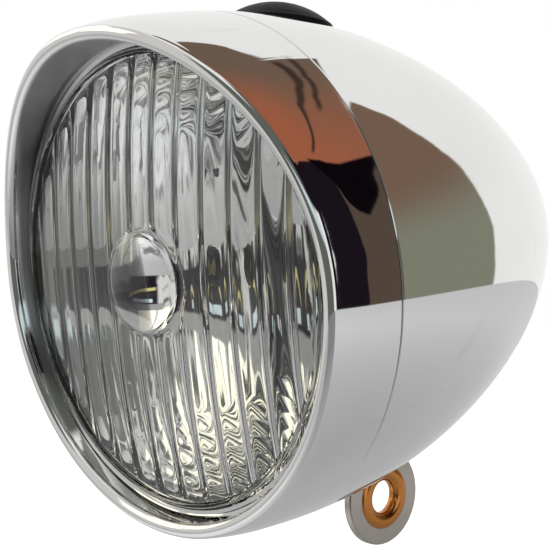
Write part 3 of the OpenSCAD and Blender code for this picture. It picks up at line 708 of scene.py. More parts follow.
class HEADLIGHT_OT_shell(bpy.types.Operator):
    """Turn the bullet-shaped rear shell and cut its button hole, tab slot and screw hole"""

    bl_idname = "headlight.shell"
    bl_label = "Rear Shell"

    mouth_edge = 0.12
    slot_play = 0.2
    # Hole of the clamping screw with its sink, as radius and depth below the skin
    screw_sink = ((0, -1.0), (2.6, -1.0), (2.5, -0.1), (1.3, 1.1), (1.3, 4), (0, 4))

    def execute(self, context):
        plan, finishes = plan_and_finishes(context)
        chrome = chrome_finish(finishes)
        outer = plan.shell_line()
        outer[0] = (plan.seam_r - self.mouth_edge, 0.0)
        outer.insert(1, (plan.shell_r(self.mouth_edge), self.mouth_edge))
        inner = [(plan.mouth_r, 0.0), (plan.mouth_r, plan.mouth_len)]
        inner += plan.shell_line(plan.wall, plan.mouth_len, 40, 20)
        # Outer and inner skin each end in a pole, and the mouth joins them
        bm = bmesh.new()
        verts_out, edges_out = draw_line(bm, outer)
        verts_in, edges_in = draw_line(bm, inner)
        joint = bm.edges.new((verts_out[0], verts_in[0]))
        bmesh.ops.spin(
            bm, geom=verts_out + verts_in + edges_out + edges_in + [joint], cent=(0, 0, 0),
            axis=(0, 1, 0), angle=TURN, steps=192, use_merge=True,
        )
        shell = finish_mesh(bm, "shell_body", place=LAMP_FRAME)
        cutter = bmesh.new()
        turn(cutter, self.screw_sink, steps=48)
        sunk = along_y(0, plan.lock_y, -plan.shell_r(plan.lock_y))
        bmesh.ops.transform(cutter, matrix=sunk, verts=cutter.verts[:])
        rod(cutter, plan.btn_hole_r, 24, plan.button_frame(), segments=96)
        slot_x = plan.tab_t / 2 + self.slot_play
        slot_y = plan.lug_r + self.slot_play
        block(
            cutter, (-slot_x, plan.lug_y - slot_y, -plan.seam_r),
            (slot_x, plan.lug_y + slot_y, -plan.foot_drop + 1),
        )
        cut(shell, cutter)
        self.even_skin(plan, shell.data)
        shell.data.transform(TO_PART)
        dress(shell, chrome, "housing", "polished_chrome", "rear_shell")
        self.guide(plan, chrome)
        self.bosses(plan, chrome)
        return {"FINISHED"}

    def even_skin(self, plan, mesh):
        """Gives the outer skin the arc's own normals, so that the holes leave no dents in it"""
        normals = [Vector(n.vector) for n in mesh.corner_normals]
        for face in mesh.polygons:
            gap, normal = plan.shell_skin(face.center)
            outside = abs(gap) < 0.05 and face.normal.dot(normal) > 0.9
            if outside and face.center.y > self.mouth_edge + 0.01:
                for loop in face.loop_indices:
                    place = mesh.vertices[mesh.loops[loop].vertex_index].co
                    normals[loop] = plan.shell_skin(place)[1]
        mesh.normals_split_custom_set(normals)

    def guide(self, plan, material):
        """Collar inside the shell that guides the button, with two posts for the switch board"""
        bm = bmesh.new()
        depth, soft = plan.guide_depth, 0.2
        top = 0.6 - plan.roof
        collar = [
            (plan.guide_r, soft - depth), (plan.guide_r + soft, -depth),
            (plan.guide_out - soft, -depth), (plan.guide_out, soft - depth),
            (plan.guide_out, top), (plan.guide_r, top),
        ]
        turn(bm, collar, steps=96, closed=True)
        bmesh.ops.transform(bm, matrix=LEAN, verts=bm.verts[:])
        post_top = top - 1.2
        for side in (-1, 1):
            post = Matrix.Translation((side * (plan.guide_out + 2.2), 0, (post_top - depth) / 2))
            rod(bm, plan.post_r, depth + post_top, post)
        dress(
            finish_mesh(bm, "shell_guide", place=TO_PART @ plan.button_frame()),
            material, "housing", "polished_chrome", "rear_shell",
        )

    def bosses(self, plan, material):
        """Bosses inside the shell for the tray's and the tab's screws"""
        bm = bmesh.new()
        corner = (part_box("tray_screws")[1] - SEAM_CENTRE) / MM
        place_x = corner.x - plan.tray_screw_head
        place_z = corner.z - plan.tray_screw_head
        start = corner.y - plan.tray_boss_len
        middle = (start + plan.tray_boss_end) / 2
        for x in (-place_x, place_x):
            for z in (-place_z, place_z):
                rod(bm, plan.tray_boss_r, plan.tray_boss_end - start, along_y(x, middle, z))
        height = plan.shell_r(plan.lug_y) - plan.foot_drop - 2.2
        for x in (-plan.foot_x, plan.foot_x):
            post = Matrix.Translation((x, plan.lug_y, -plan.foot_drop - height / 2))
            rod(bm, plan.tab_boss_r, height, post)
        dress(
            finish_mesh(bm, "shell_bosses"), material, "housing", "polished_chrome", "rear_shell"
        )


# Bezel


class HEADLIGHT_OT_bezel(bpy.types.Operator):
    """Sweep the bezel with its rolled lip, and draw its rim forward into the peaked hood"""

    bl_idname = "headlight.bezel"
    bl_label = "Bezel"

    sharp = 30
    outline_steps = 28
    # Above 1 the outline's points crowd towards the lip
    crowding = 1.3
    wall_steps = 15
    screw_room = 1.7
    collar_room = 0.6
    # The seal ring's groove in the skirt, from and to a place behind the seam
    groove = (1.3, 2.6)

    def execute(self, context):
        plan, finishes = plan_and_finishes(context)
        # The hood's inner wall gets satin roughness and painted shade
        chrome = chrome_finish(finishes, "Bezel chrome", hood_wall_satin_and_shade)
        self.lip_d = plan.rim - plan.lip_r
        self.lip_c = plan.bezel_r(self.lip_d) - plan.draw_in(self.lip_d, self.lip_d) - plan.lip_r
        bm = bmesh.new()
        turn(bm, self.section(plan), steps=192, closed=True)
        for vert in bm.verts:
            self.reach_forward(plan, vert)
        bezel = finish_mesh(bm, "bezel_hood", self.sharp, LAMP_FRAME)
        # Room in the skirt for the clamping screw below and the button's collar above
        cutter = bmesh.new()
        below = self.screw_room
        block(
            cutter, (-below, plan.lock_y - below, -plan.seam_r), (below, plan.lock_y + 5, -30)
        )
        above = plan.guide_out + self.collar_room
        block(
            cutter, (-above, plan.lock_y - 0.2, 0), (above, plan.lock_y + 6.3, plan.seam_r)
        )
        cut(bezel, cutter, self.sharp)
        bezel.data.transform(TO_PART)
        dress(bezel, chrome, "front", "polished_chrome", "bezel")
        return {"FINISHED"}

    def section(self, plan):
        """Section of the bezel with a level rim, as radius and place"""
        line = [(plan.bezel_r(plan.seam_gap) - 0.1, -plan.seam_gap)]
        first = plan.seam_gap + 0.1
        for left in evenly(1, 0, self.outline_steps):
            d = first + (self.lip_d - first) * (1 - left**self.crowding)
            line.append((plan.bezel_r(d) - plan.draw_in(d, self.lip_d), -d))
        line += arc(self.lip_c, -self.lip_d, plan.lip_r, 0, -180, 24)[1:]
        inner, floor = line[-1], (plan.open_r + 0.8, -plan.seat_front)
        wall = zip(*(evenly(a, b, self.wall_steps) for a, b in zip(inner, floor)))
        line += list(wall)[1:-1]
        groove_r = plan.mouth_r - 1.2
        start, end = self.groove
        line += [
            (floor[0] + 0.1, floor[1] - 0.15), (floor[0] - 0.1, floor[1]),
            (plan.open_r + 0.15, -plan.seat_front), (plan.open_r, -plan.seat_front + 0.15),
            (plan.open_r, -plan.seat_back), (plan.pocket_r, -plan.seat_back),
            (plan.pocket_r, plan.skirt_len - 0.4), (plan.pocket_r + 0.4, plan.skirt_len),
            (plan.skirt_r - 0.4, plan.skirt_len), (plan.skirt_r, plan.skirt_len - 0.4),
            (plan.skirt_r, end), (groove_r, end), (groove_r, start), (plan.skirt_r, start),
            (plan.skirt_r, -plan.seam_gap),
        ]
        return line

    def reach_forward(self, plan, vert):
        """Moves a point of the level section to its place on the hood"""
        r, d = hypot(vert.co.x, vert.co.z), -vert.co.y
        more = plan.rim_at(vert.co.z / r) - plan.rim
        outside = r > self.lip_c
        start = plan.seam_gap if outside else plan.seat_front
        if d <= start + 1e-6 or more < 1e-6:
            return
        share = min(1.0, (d - start) / (self.lip_d - start))
        moved = d + more * share
        new_lip = self.lip_d + more
        lip_shift = (
            plan.bezel_r(new_lip) - plan.draw_in(new_lip, new_lip)
            - plan.bezel_r(self.lip_d) + plan.draw_in(self.lip_d, self.lip_d)
        )
        if outside and share < 1:
            old = plan.bezel_r(d) - plan.draw_in(d, self.lip_d)
            shift = plan.bezel_r(moved) - plan.draw_in(moved, new_lip) - old
        else:
            shift = lip_shift * (1 if outside else share)
        scale = (r + shift) / r
        vert.co = Vector((vert.co.x * scale, -moved, vert.co.z * scale))


# Lens


class HEADLIGHT_OT_lens(bpy.types.Operator):
    """Shape the clear lens: domed front, stepped border, round centre lens and upright flutes"""

    bl_idname = "headlight.lens"
    bl_label = "Fluted Lens"

    flute_steps = 20
    rows = 96
    valley = 0.55
    # How much further than the centre lens its pad behind reaches, across and up
    pad_wider = 0.9
    pad_taller = 0.5
    # The pad's fall to its edge, where it ends, and the share in which it blends in
    pad_fall = 0.35
    pad_end = 1.04
    pad_blend = 0.08
    bull_steps = 16
    dome_steps = 40

    def execute(self, context):
        plan, finishes = plan_and_finishes(context)
        bm = bmesh.new()
        columns = self.flute_steps * plan.flutes
        edge_r = plan.flute_r - 0.3
        self.front(plan, bm, edge_r, 2 * (columns + self.rows))
        rim = [e for e in bm.edges if e.is_boundary]
        back = self.fluted_back(plan, bm, edge_r, columns)
        bmesh.ops.bridge_loops(bm, edges=rim + back)
        lens = finish_mesh(bm, "lens_glass", sharp=24)
        clear = glass_finish("Clear lens", finishes.glass, 0.004, 1.5)
        dress(lens, clear, "front", "clear_lens", "lens")
        rubber = moulded(
            "Seal rubber", (0.02, 0.02, 0.02, 1), (0.035, 0.034, 0.033, 1), 0.5, 0.65,
            grain=2400.0, bump=0.3,
        )
        paint(rubber, "seal_ring")
        pale = moulded(
            "Pale moulding", (0.55, 0.56, 0.55, 1), (0.48, 0.49, 0.48, 1), 0.3, 0.42,
            grain=3000.0, bump=0.1,
        )
        paint(pale, "lens_gasket", "retaining_ring")
        return {"FINISHED"}

    def front(self, plan, bm, edge_r, steps):
        """The turned front, from the centre out over the border and flange to the rear edge"""
        bull_arc = (plan.bull_r**2 + plan.bull_crown**2) / (2 * plan.bull_crown)
        top = -plan.bull_y - plan.bull_crown
        line = [
            (r, top + (bull_arc - sqrt(bull_arc**2 - r * r)))
            for r in evenly(0, plan.bull_r, self.bull_steps)
        ]
        foot = plan.dome_y(plan.bull_r)
        line += arc(plan.bull_r - 0.02, line[-1][1] + 0.12, 0.12, -60, 0, 4)
        line.append((plan.bull_r + 0.12, foot - 0.12))
        start, end = plan.bull_r + 0.28, plan.flute_r - 0.1
        line += [(plan.bull_r + 0.16, foot - 0.05), (start, foot)]
        line += [(r, plan.dome_y(r)) for r in evenly(start, end, self.dome_steps)[1:]]
        edge, b = plan.flute_r, -plan.border
        line += [(edge, b + 0.22), (edge + 0.1, b + 0.3), (edge + 0.2, b + 0.25)]
        line += arc(edge + 0.42, b + 0.14, 0.14, -180, -90, 4)
        line += arc(plan.open_r - 0.5, b + 0.3, 0.3, -90, 0, 6)
        line += [
            (plan.open_r - 0.2, -plan.gasket_back), (plan.part_r - 0.1, -plan.gasket_back),
            (plan.part_r, -plan.gasket_back + 0.1), (plan.part_r, -plan.lens_back - 0.1),
            (plan.part_r - 0.1, -plan.lens_back), (edge_r, -plan.lens_back),
            (edge_r, -plan.lens_back - 1.2),
        ]
        turn(bm, line, steps)

    def fluted_back(self, plan, bm, edge_r, columns):
        """A grid drawn out into a disc whose columns stay upright. It follows the dome, with a
        rib between two lines and a plain oval pad behind the centre lens"""
        rib_r = (plan.pitch**2 / 4 + plan.flute_d**2) / (2 * plan.flute_d)
        pad = plan.flute_d + plan.bull_r**2 / (2 * plan.flute_arc)
        made = bmesh.ops.create_grid(
            bm, x_segments=columns, y_segments=self.rows, size=1, matrix=LEAN
        )["verts"]
        for vert in made:
            u, w = vert.co.x, vert.co.z
            x = u * edge_r * 0.996
            z = w * sqrt(edge_r**2 - x * x)
            if abs(u) > 1 - 1e-6:
                x = copysign(sqrt(edge_r**2 - z * z), x)
            offset = abs((x / plan.pitch + 0.5) % 1.0 - 0.5) * plan.pitch
            r = hypot(x, z)
            rise = self.rib(plan, rib_r, offset) + r * r / (2 * plan.flute_arc)
            share = hypot(
                x / (plan.bull_r + self.pad_wider), z / (plan.bull_r + self.pad_taller)
            )
            inside = min(1.0, max(0.0, (self.pad_end - share) / self.pad_blend))
            onto_pad = pad - self.pad_fall * share**2 - rise
            rise += onto_pad * inside**2 * (3 - 2 * inside)
            vert.co = Vector((x, -plan.lens_rear - plan.dome_rise + rise, z))
        chosen = set(made)
        return [e for e in bm.edges if e.is_boundary and chosen.issuperset(e.verts)]

    def rib(self, plan, rib_r, offset):
        """Height of a rib at a distance from its middle, with the valley beside it softened"""
        foot = plan.pitch / 2 - self.valley
        near = min(offset, foot)
        fall = sqrt(rib_r**2 - near**2)
        height = plan.flute_d - rib_r + fall
        if offset > foot:
            left = plan.pitch / 2 - offset
            height -= near / fall * (self.valley**2 - left**2) / (2 * self.valley)
        return height


# Reflector and light source


class HEADLIGHT_OT_reflector(bpy.types.Operator):
    """Turn the reflector's bowl with its outer rows of rounded steps"""

    bl_idname = "headlight.reflector"
    bl_label = "Reflector"

    row_rise = 0.10
    row_height = 2.4
    row_steps = 12
    plain_r = 18.5
    plain_steps = 16
    back_steps = 24
    # Posts for the board, by distance from the axis and angle
    post_place = 16
    post_angles = (90, 210, 330)

    def execute(self, context):
        plan, finishes = plan_and_finishes(context)
        rows = int((plan.bowl_r - self.plain_r) / self.row_height)
        first = plan.bowl_r - rows * self.row_height
        inner = evenly(plan.bowl_hole_r, first, self.plain_steps)[:-1]
        inner += evenly(first, plan.bowl_r, rows * self.row_steps)
        inner = [(r, plan.bowl_y(r)) for r in inner]
        neck_r = plan.bowl_hole_r + plan.bowl_wall
        outer = evenly(plan.bowl_r - 0.9, neck_r, self.back_steps)
        outer = [(r, plan.bowl_y(r) + plan.bowl_wall) for r in outer]
        line = inner + [
            (plan.part_r - 0.1, -plan.lens_back), (plan.part_r, -plan.lens_back + 0.1),
            (plan.part_r, -plan.bowl_back), (plan.bowl_r - 0.3, -plan.bowl_back),
        ] + outer + [(neck_r, plan.board_y), (plan.bowl_hole_r, plan.board_y)]
        bm = bmesh.new()
        turn(bm, line, steps=240, closed=True)
        for vert in bm.verts:
            self.press_row(plan, vert, first)
        bowl = finish_mesh(bm, "reflector_bowl", sharp=40)
        mirror = polished_metal(
            "Metallised mirror", finishes.mirror, (0.70, 0.70, 0.69, 1), least=0.03, worn=0.15,
            bump=0.05, dulled=0.03, Scale=1.0, Scratches=0.1, Nicks=0.4, Haze=0.5,
        )
        dress(bowl, mirror, "front", "mirror_coat", "reflector")
        bm = bmesh.new()
        start = plan.bowl_y(self.post_place) + 0.5
        for angle in self.post_angles:
            x = self.post_place * cos(radians(angle))
            z = self.post_place * sin(radians(angle))
            middle = along_y(x, (start + plan.board_y) / 2, z)
            rod(bm, plan.post_r, plan.board_y - start, middle)
        dress(finish_mesh(bm, "reflector_posts"), mirror, "front", "mirror_coat", "reflector")
        return {"FINISHED"}

    def press_row(self, plan, vert, first):
        """Raises a point of the inner bowl to its place on a rounded step, above and below only"""
        x, y, z = vert.co
        r = hypot(x, z)
        if r < first or r > plan.bowl_r + 1e-4 or abs(y - plan.bowl_y(r)) > 1e-3:
            return
        along = ((r - first) / self.row_height) % 1.0 * 2 - 1
        if r > plan.bowl_r - 1e-4:
            along = -1
        rise = self.row_rise * (1 - along**2) * (z / r) ** 4
        slope = r / (2 * plan.focal)
        vert.co += Vector((-x / r * slope, -1, -z / r * slope)).normalized() * rise


class HEADLIGHT_OT_light_source(bpy.types.Operator):
    """Shape the clear dome, and finish the board, package and collar of the light source"""

    bl_idname = "headlight.light_source"
    bl_label = "Light Source"

    def execute(self, context):
        plan, finishes = plan_and_finishes(context)
        bm = bmesh.new()
        base = plan.board_y - plan.chip_t - 0.01
        top = base - plan.glow_t - 0.04
        inside = plan.glow_r + 0.05
        line = arc(0, base, plan.dome_r, -90, 0, 20)
        line[0] = (0, line[0][1])
        line += [(inside, base), (inside, top), (0, top)]
        turn(bm, line, steps=64)
        dome = finish_mesh(bm, "light_dome")
        clear = glass_finish("Clear dome", (0.99, 0.99, 0.97, 1), 0.01, 1.42)
        dress(dome, clear, "front", "clear_dome", "led_dome")
        paint(black_plastic(finishes), "led_collar", "driver_parts")
        yellow = moulded(
            "Phosphor", finishes.phosphor, scaled(finishes.phosphor, 0.8), 0.6, 0.7,
            grain=6000.0, bump=0.1, dust=0.0,
        )
        paint(yellow, "led_phosphor")
        white = moulded(
            "White moulding", (0.78, 0.77, 0.73, 1), (0.70, 0.69, 0.65, 1), 0.3, 0.4,
            grain=3000.0, bump=0.1,
        )
        paint(white, "led_package", "switch_plunger")
        paint(self.board(finishes), "led_board", "switch_board")
        paint(screw_finish(), "board_screws", "switch_screws")
        return {"FINISHED"}

    def board(self, finishes):
        """Green board with copper tracks that show through its mask"""
        material, tree, shader = new_material("Circuit board")
        if tree is None:
            return material
        place = {"Vector": mapped(tree), "Scale": 330.0}
        cells = add(tree, "ShaderNodeTexVoronoi", place, distance="CHEBYCHEV").outputs
        tracks = spread(tree, cells["Distance"], 0.36, 0.40)
        surface = place_group(tree, "Fine grain", Grain=1800.0, Tone=200.0, Dust=0.4)
        toned = mix(tree, tracks, finishes.board, scaled(finishes.board, 2.0))
        toned = mix(tree, times(tree, surface["Tone"], 0.3), toned, (0.01, 0.04, 0.02, 1))
        rough = lerp(tree, surface["Tone"], 0.28, 0.42)
        height = plus(tree, tracks, times(tree, surface["Height"], 0.2))
        coat(tree, shader, rough, height, 0.3, 0.04, Base_Color=toned)
        return material


# Button, tab and inside


class HEADLIGHT_OT_button(bpy.types.Operator):
    """Mould the rubber button with its low dome, wall, flange and stem"""

    bl_idname = "headlight.button"
    bl_label = "Rubber Button"

    dome_steps = 24
    # Where the dome would meet the wall, and the rounding that takes its place
    edge = -0.4
    rounding = 0.45
    wall = 1.4
    stem_r = 2.2

    def execute(self, context):
        plan, finishes = plan_and_finishes(context)
        wall, stem_r, soft = self.wall, self.stem_r, 0.15
        flange_r = plan.btn_r + 1
        top = -plan.roof - 0.3
        foot = top - 1
        crown = plan.btn_out - self.edge
        dome_r = (plan.btn_r**2 + crown**2) / (2 * crown)
        limit = asin((plan.btn_r - 0.35) / dome_r)
        line = [
            (dome_r * sin(a), plan.btn_out - dome_r * (1 - cos(a)))
            for a in evenly(0, limit, self.dome_steps)
        ]
        round_z = line[-1][1] - 0.44
        line += arc(plan.btn_r - self.rounding, round_z, self.rounding, 65, 0, 6)
        line += [
            (plan.btn_r, top), (flange_r - soft, top), (flange_r, top - soft),
            (flange_r, foot + soft), (flange_r - soft, foot), (plan.btn_r - wall, foot),
            (plan.btn_r - wall, self.edge - wall), (stem_r, plan.btn_out - wall - 0.6),
            (stem_r, -plan.stem_end + 0.2), (stem_r - 0.2, -plan.stem_end),
            (0, -plan.stem_end),
        ]
        bm = bmesh.new()
        turn(bm, line, steps=96)
        bmesh.ops.transform(bm, matrix=LEAN, verts=bm.verts[:])
        cap = finish_mesh(bm, "button_dome", place=TO_PART @ plan.button_frame())
        rubber = moulded(
            "Button rubber", finishes.rubber, scaled(finishes.rubber, 2.0), 0.42, 0.56,
            grain=3000.0, bump=0.3, dust=0.4, shine=0.1,
        )
        dress(cap, rubber, "button", "button_rubber", "button_cap")
        return {"FINISHED"}


class HEADLIGHT_OT_tab(bpy.types.Operator):
    """Stamp the mounting tab with rounded edges and roll its copper eyelet"""

    bl_idname = "headlight.tab"
    bl_label = "Tab and Eyelet"

    roll_steps = 12
    curl_steps = 10

    def execute(self, context):
        plan, finishes = plan_and_finishes(context)
        plating = polished_metal(
            "Tab plating", finishes.plate, (0.34, 0.32, 0.29, 1), least=0.2, worn=0.5,
            bump=0.3, dulled=0.16, Scale=1.6, Scratches=1.0, Nicks=1.0, Haze=1.0,
        )
        self.plate(plan, plating)
        self.eyelet(plan, finishes)
        paint(screw_finish(), "tab_screws", "lock_screw", "lock_nut", "tray_screws")
        return {"FINISHED"}

    def outline(self, plan):
        """Side view of the tab from the foot down, round the lug and up again"""
        out = plan.tab_w / 2 + plan.neck_r
        up = sqrt((plan.lug_r + plan.neck_r) ** 2 - out * out)
        flare = degrees(atan2(up, out))
        half = [(plan.tab_w / 2, plan.lug_drop - plan.foot_drop - 0.2)]
        half += arc(out, up, plan.neck_r, 180, 180 + flare, 10)
        half += arc(0, 0, plan.lug_r, flare, -90, 40)[1:]
        return half + [(-y, z) for y, z in half[-2::-1]]

    def plate(self, plan, plating):
        bm = bmesh.new()
        face = bm.faces.new([
            bm.verts.new((-plan.tab_t / 2, plan.lug_y + y, z - plan.lug_drop))
            for y, z in self.outline(plan)
        ])
        made = bmesh.ops.extrude_face_region(bm, geom=[face])["geom"]
        moved = [v for v in made if isinstance(v, bmesh.types.BMVert)]
        bmesh.ops.translate(bm, verts=moved, vec=(plan.tab_t, 0, 0))
        bmesh.ops.recalc_face_normals(bm, faces=bm.faces[:])
        soften(bm, bm.verts[:], 0.4, segments=4, angle=50)
        tab = finish_mesh(bm, "tab_plate", place=LAMP_FRAME)
        hole = Matrix.Translation((0, plan.lug_y, -plan.lug_drop))
        cutter = bmesh.new()
        across = hole @ Matrix.Rotation(pi / 2, 4, "Y")
        rod(cutter, plan.bush_neck_r + plan.bush_play, 6, across, segments=64)
        cut(tab, cutter)
        tab.data.transform(TO_PART)
        dress(tab, plating, "housing", "plated_steel", "mount_tab")
        bm = bmesh.new()
        foot = block(
            bm, (-plan.foot_w / 2, plan.lug_y - plan.foot_d / 2, -plan.foot_drop),
            (plan.foot_w / 2, plan.lug_y + plan.foot_d / 2, -plan.foot_drop + 2),
        )
        soften(bm, foot, 0.3)
        dress(finish_mesh(bm, "tab_foot"), plating, "housing", "plated_steel", "mount_tab")

    def eyelet(self, plan, finishes):
        """The rolled eyelet: its mouths curl over in a full round onto the tab"""
        half = plan.tab_t / 2
        face = half + plan.bush_out
        crest = (plan.bolt_r + plan.bush_r) / 2
        roll = crest - plan.bolt_r
        flat, rest = 0.15, half + 0.01
        outer = [
            (crest - roll * cos(a), flat + (face - flat) * sin(a))
            for a in evenly(0, pi / 2, self.roll_steps)
        ]
        outer += [
            (crest + roll * sin(a), rest + plan.bush_out * cos(a))
            for a in evenly(0, pi / 2, self.curl_steps)[1:]
        ]
        outer.append((plan.bush_neck_r, rest))
        line = outer + [(r, -y) for r, y in reversed(outer)]
        bm = bmesh.new()
        turn(bm, line, steps=96, closed=True)
        bmesh.ops.rotate(bm, verts=bm.verts[:], matrix=Matrix.Rotation(pi / 2, 3, "Z"))
        eyelet = finish_mesh(bm, "tab_eyelet", place=Matrix.Scale(MM, 4))
        copper = polished_metal(
            "Polished copper", finishes.copper, (0.32, 0.11, 0.03, 1), least=0.14, worn=0.4,
            bump=0.2, dulled=0.14, Scale=1.5, Scratches=0.8, Nicks=0.8, Haze=1.0,
        )
        dress(eyelet, copper, "housing", "copper", "tab_bush")


class HEADLIGHT_OT_inside(bpy.types.Operator):
    """Finish the tray, cells, contacts and switch inside the shell"""

    bl_idname = "headlight.inside"
    bl_label = "Inside"

    print_edge = 0.2

    def execute(self, context):
        finishes = context.scene.headlight_finishes
        paint(black_plastic(finishes), "battery_tray", "switch_body")
        nickel = polished_metal(
            "Nickel contacts", (0.66, 0.64, 0.59, 1), (0.45, 0.42, 0.36, 1), least=0.18,
            worn=0.45, dulled=0.15, Scale=2.0, Scratches=1.0, Nicks=0.6, Haze=1.0,
        )
        paint(nickel, "contact_plates", "contact_springs")
        gold = polished_metal(
            "Gold contacts", (0.80, 0.55, 0.20, 1), (0.55, 0.34, 0.11, 1), least=0.15,
            worn=0.4, dulled=0.12, Scale=2.0, Scratches=0.8, Nicks=0.5, Haze=1.0,
        )
        paint(gold, "contact_pins", "contact_pads")
        for name, way in (("cell_top", 1), ("cell_middle", -1), ("cell_bottom", 1)):
            paint(self.jacket(finishes, name, way), name)
        return {"FINISHED"}

    def jacket(self, finishes, name, way):
        """Printed jacket with a plain ring near one end, bare metal at both ends"""
        material, tree, shader = new_material(f"Jacket {name}")
        low, high = (corner.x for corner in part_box(name))
        x = axis_of(tree, own_place(tree), 0)
        if way < 0:
            x = times(tree, x, -1.0)
            low, high = -high, -low
        ring = times(tree, self.past(tree, x, high, -10.5), self.past(tree, x, high, -2.2, -1))
        bare = most(tree, self.past(tree, x, high, -1.4), self.past(tree, x, low, 0.8, -1))
        surface = place_group(tree, "Fine grain", Grain=2200.0, Tone=160.0, Dust=0.3)
        toned = mix(tree, surface["Tone"], finishes.jacket, scaled(finishes.jacket, 1.4))
        toned = mix(tree, ring, toned, (0.60, 0.30, 0.10, 1))
        toned = mix(tree, bare, toned, (0.62, 0.61, 0.58, 1))
        rough = lerp(tree, surface["Tone"], 0.26, 0.38)
        coat(tree, shader, rough, surface["Height"], 0.1, 0.03, Base_Color=toned, Metallic=bare)
        return material

    def past(self, tree, x, end, offset, way=1):
        """1 beyond a place near the cell's end, or short of it where the way is -1"""
        edge = end + offset * MM
        return spread(tree, x, edge, edge + way * self.print_edge * MM)


# Stage


def step(tree, value, edge, soft):
    """Rises from 0 to 1 at an edge, or falls where the softness is negative"""
    return spread(tree, value, edge - soft, edge + soft)


class Panorama:
    """The reflected studio, painted region over region by bearing and height in degrees"""

    def __init__(self, tree, bearing, height, view):
        self.tree, self.bearing, self.height, self.view = tree, bearing, height, view

    def between(self, value, low, high, soft=0.5):
        rising = step(self.tree, value, low, soft)
        return times(self.tree, rising, step(self.tree, value, high, -soft))

    def profile(self, *points):
        """Height of a line through points of bearing and height"""
        first, last = points[0][0], points[-1][0]
        share = spread(self.tree, self.bearing, first, last, kind="LINEAR")
        ramp = add(self.tree, "ShaderNodeValToRGB", {0: share})
        stops = ramp.color_ramp.elements
        for bearing, _ in points[1:-1]:
            stops.new((bearing - first) / (last - first))
        for stop, (_, height) in zip(stops, points):
            stop.color = (*[(height + 90) / 180] * 3, 1)
        return lerp(self.tree, ramp.outputs[0], -90, 90)

    def above(self, line, soft=0.5):
        """1 above a line, or below it where the softness is negative"""
        return step(self.tree, minus(self.tree, self.height, line), 0, soft)

    def beside(self, line, half):
        """A thin streak along a line"""
        gap = maths(self.tree, "ABSOLUTE", minus(self.tree, self.height, line))
        return step(self.tree, gap, half, -0.3)

    def cover(self, colour, across, up, *shares):
        """Lays a colour over a field of bearings and heights, as far as all the shares allow. Each
        side is low, high and softness, or a share of its own"""
        sides = [
            self.between(value, *side) if isinstance(side, tuple) else side
            for value, side in ((self.bearing, across), (self.height, up))
        ]
        share = times(self.tree, *sides, *shares)
        self.view = mix(self.tree, share, self.view, colour)


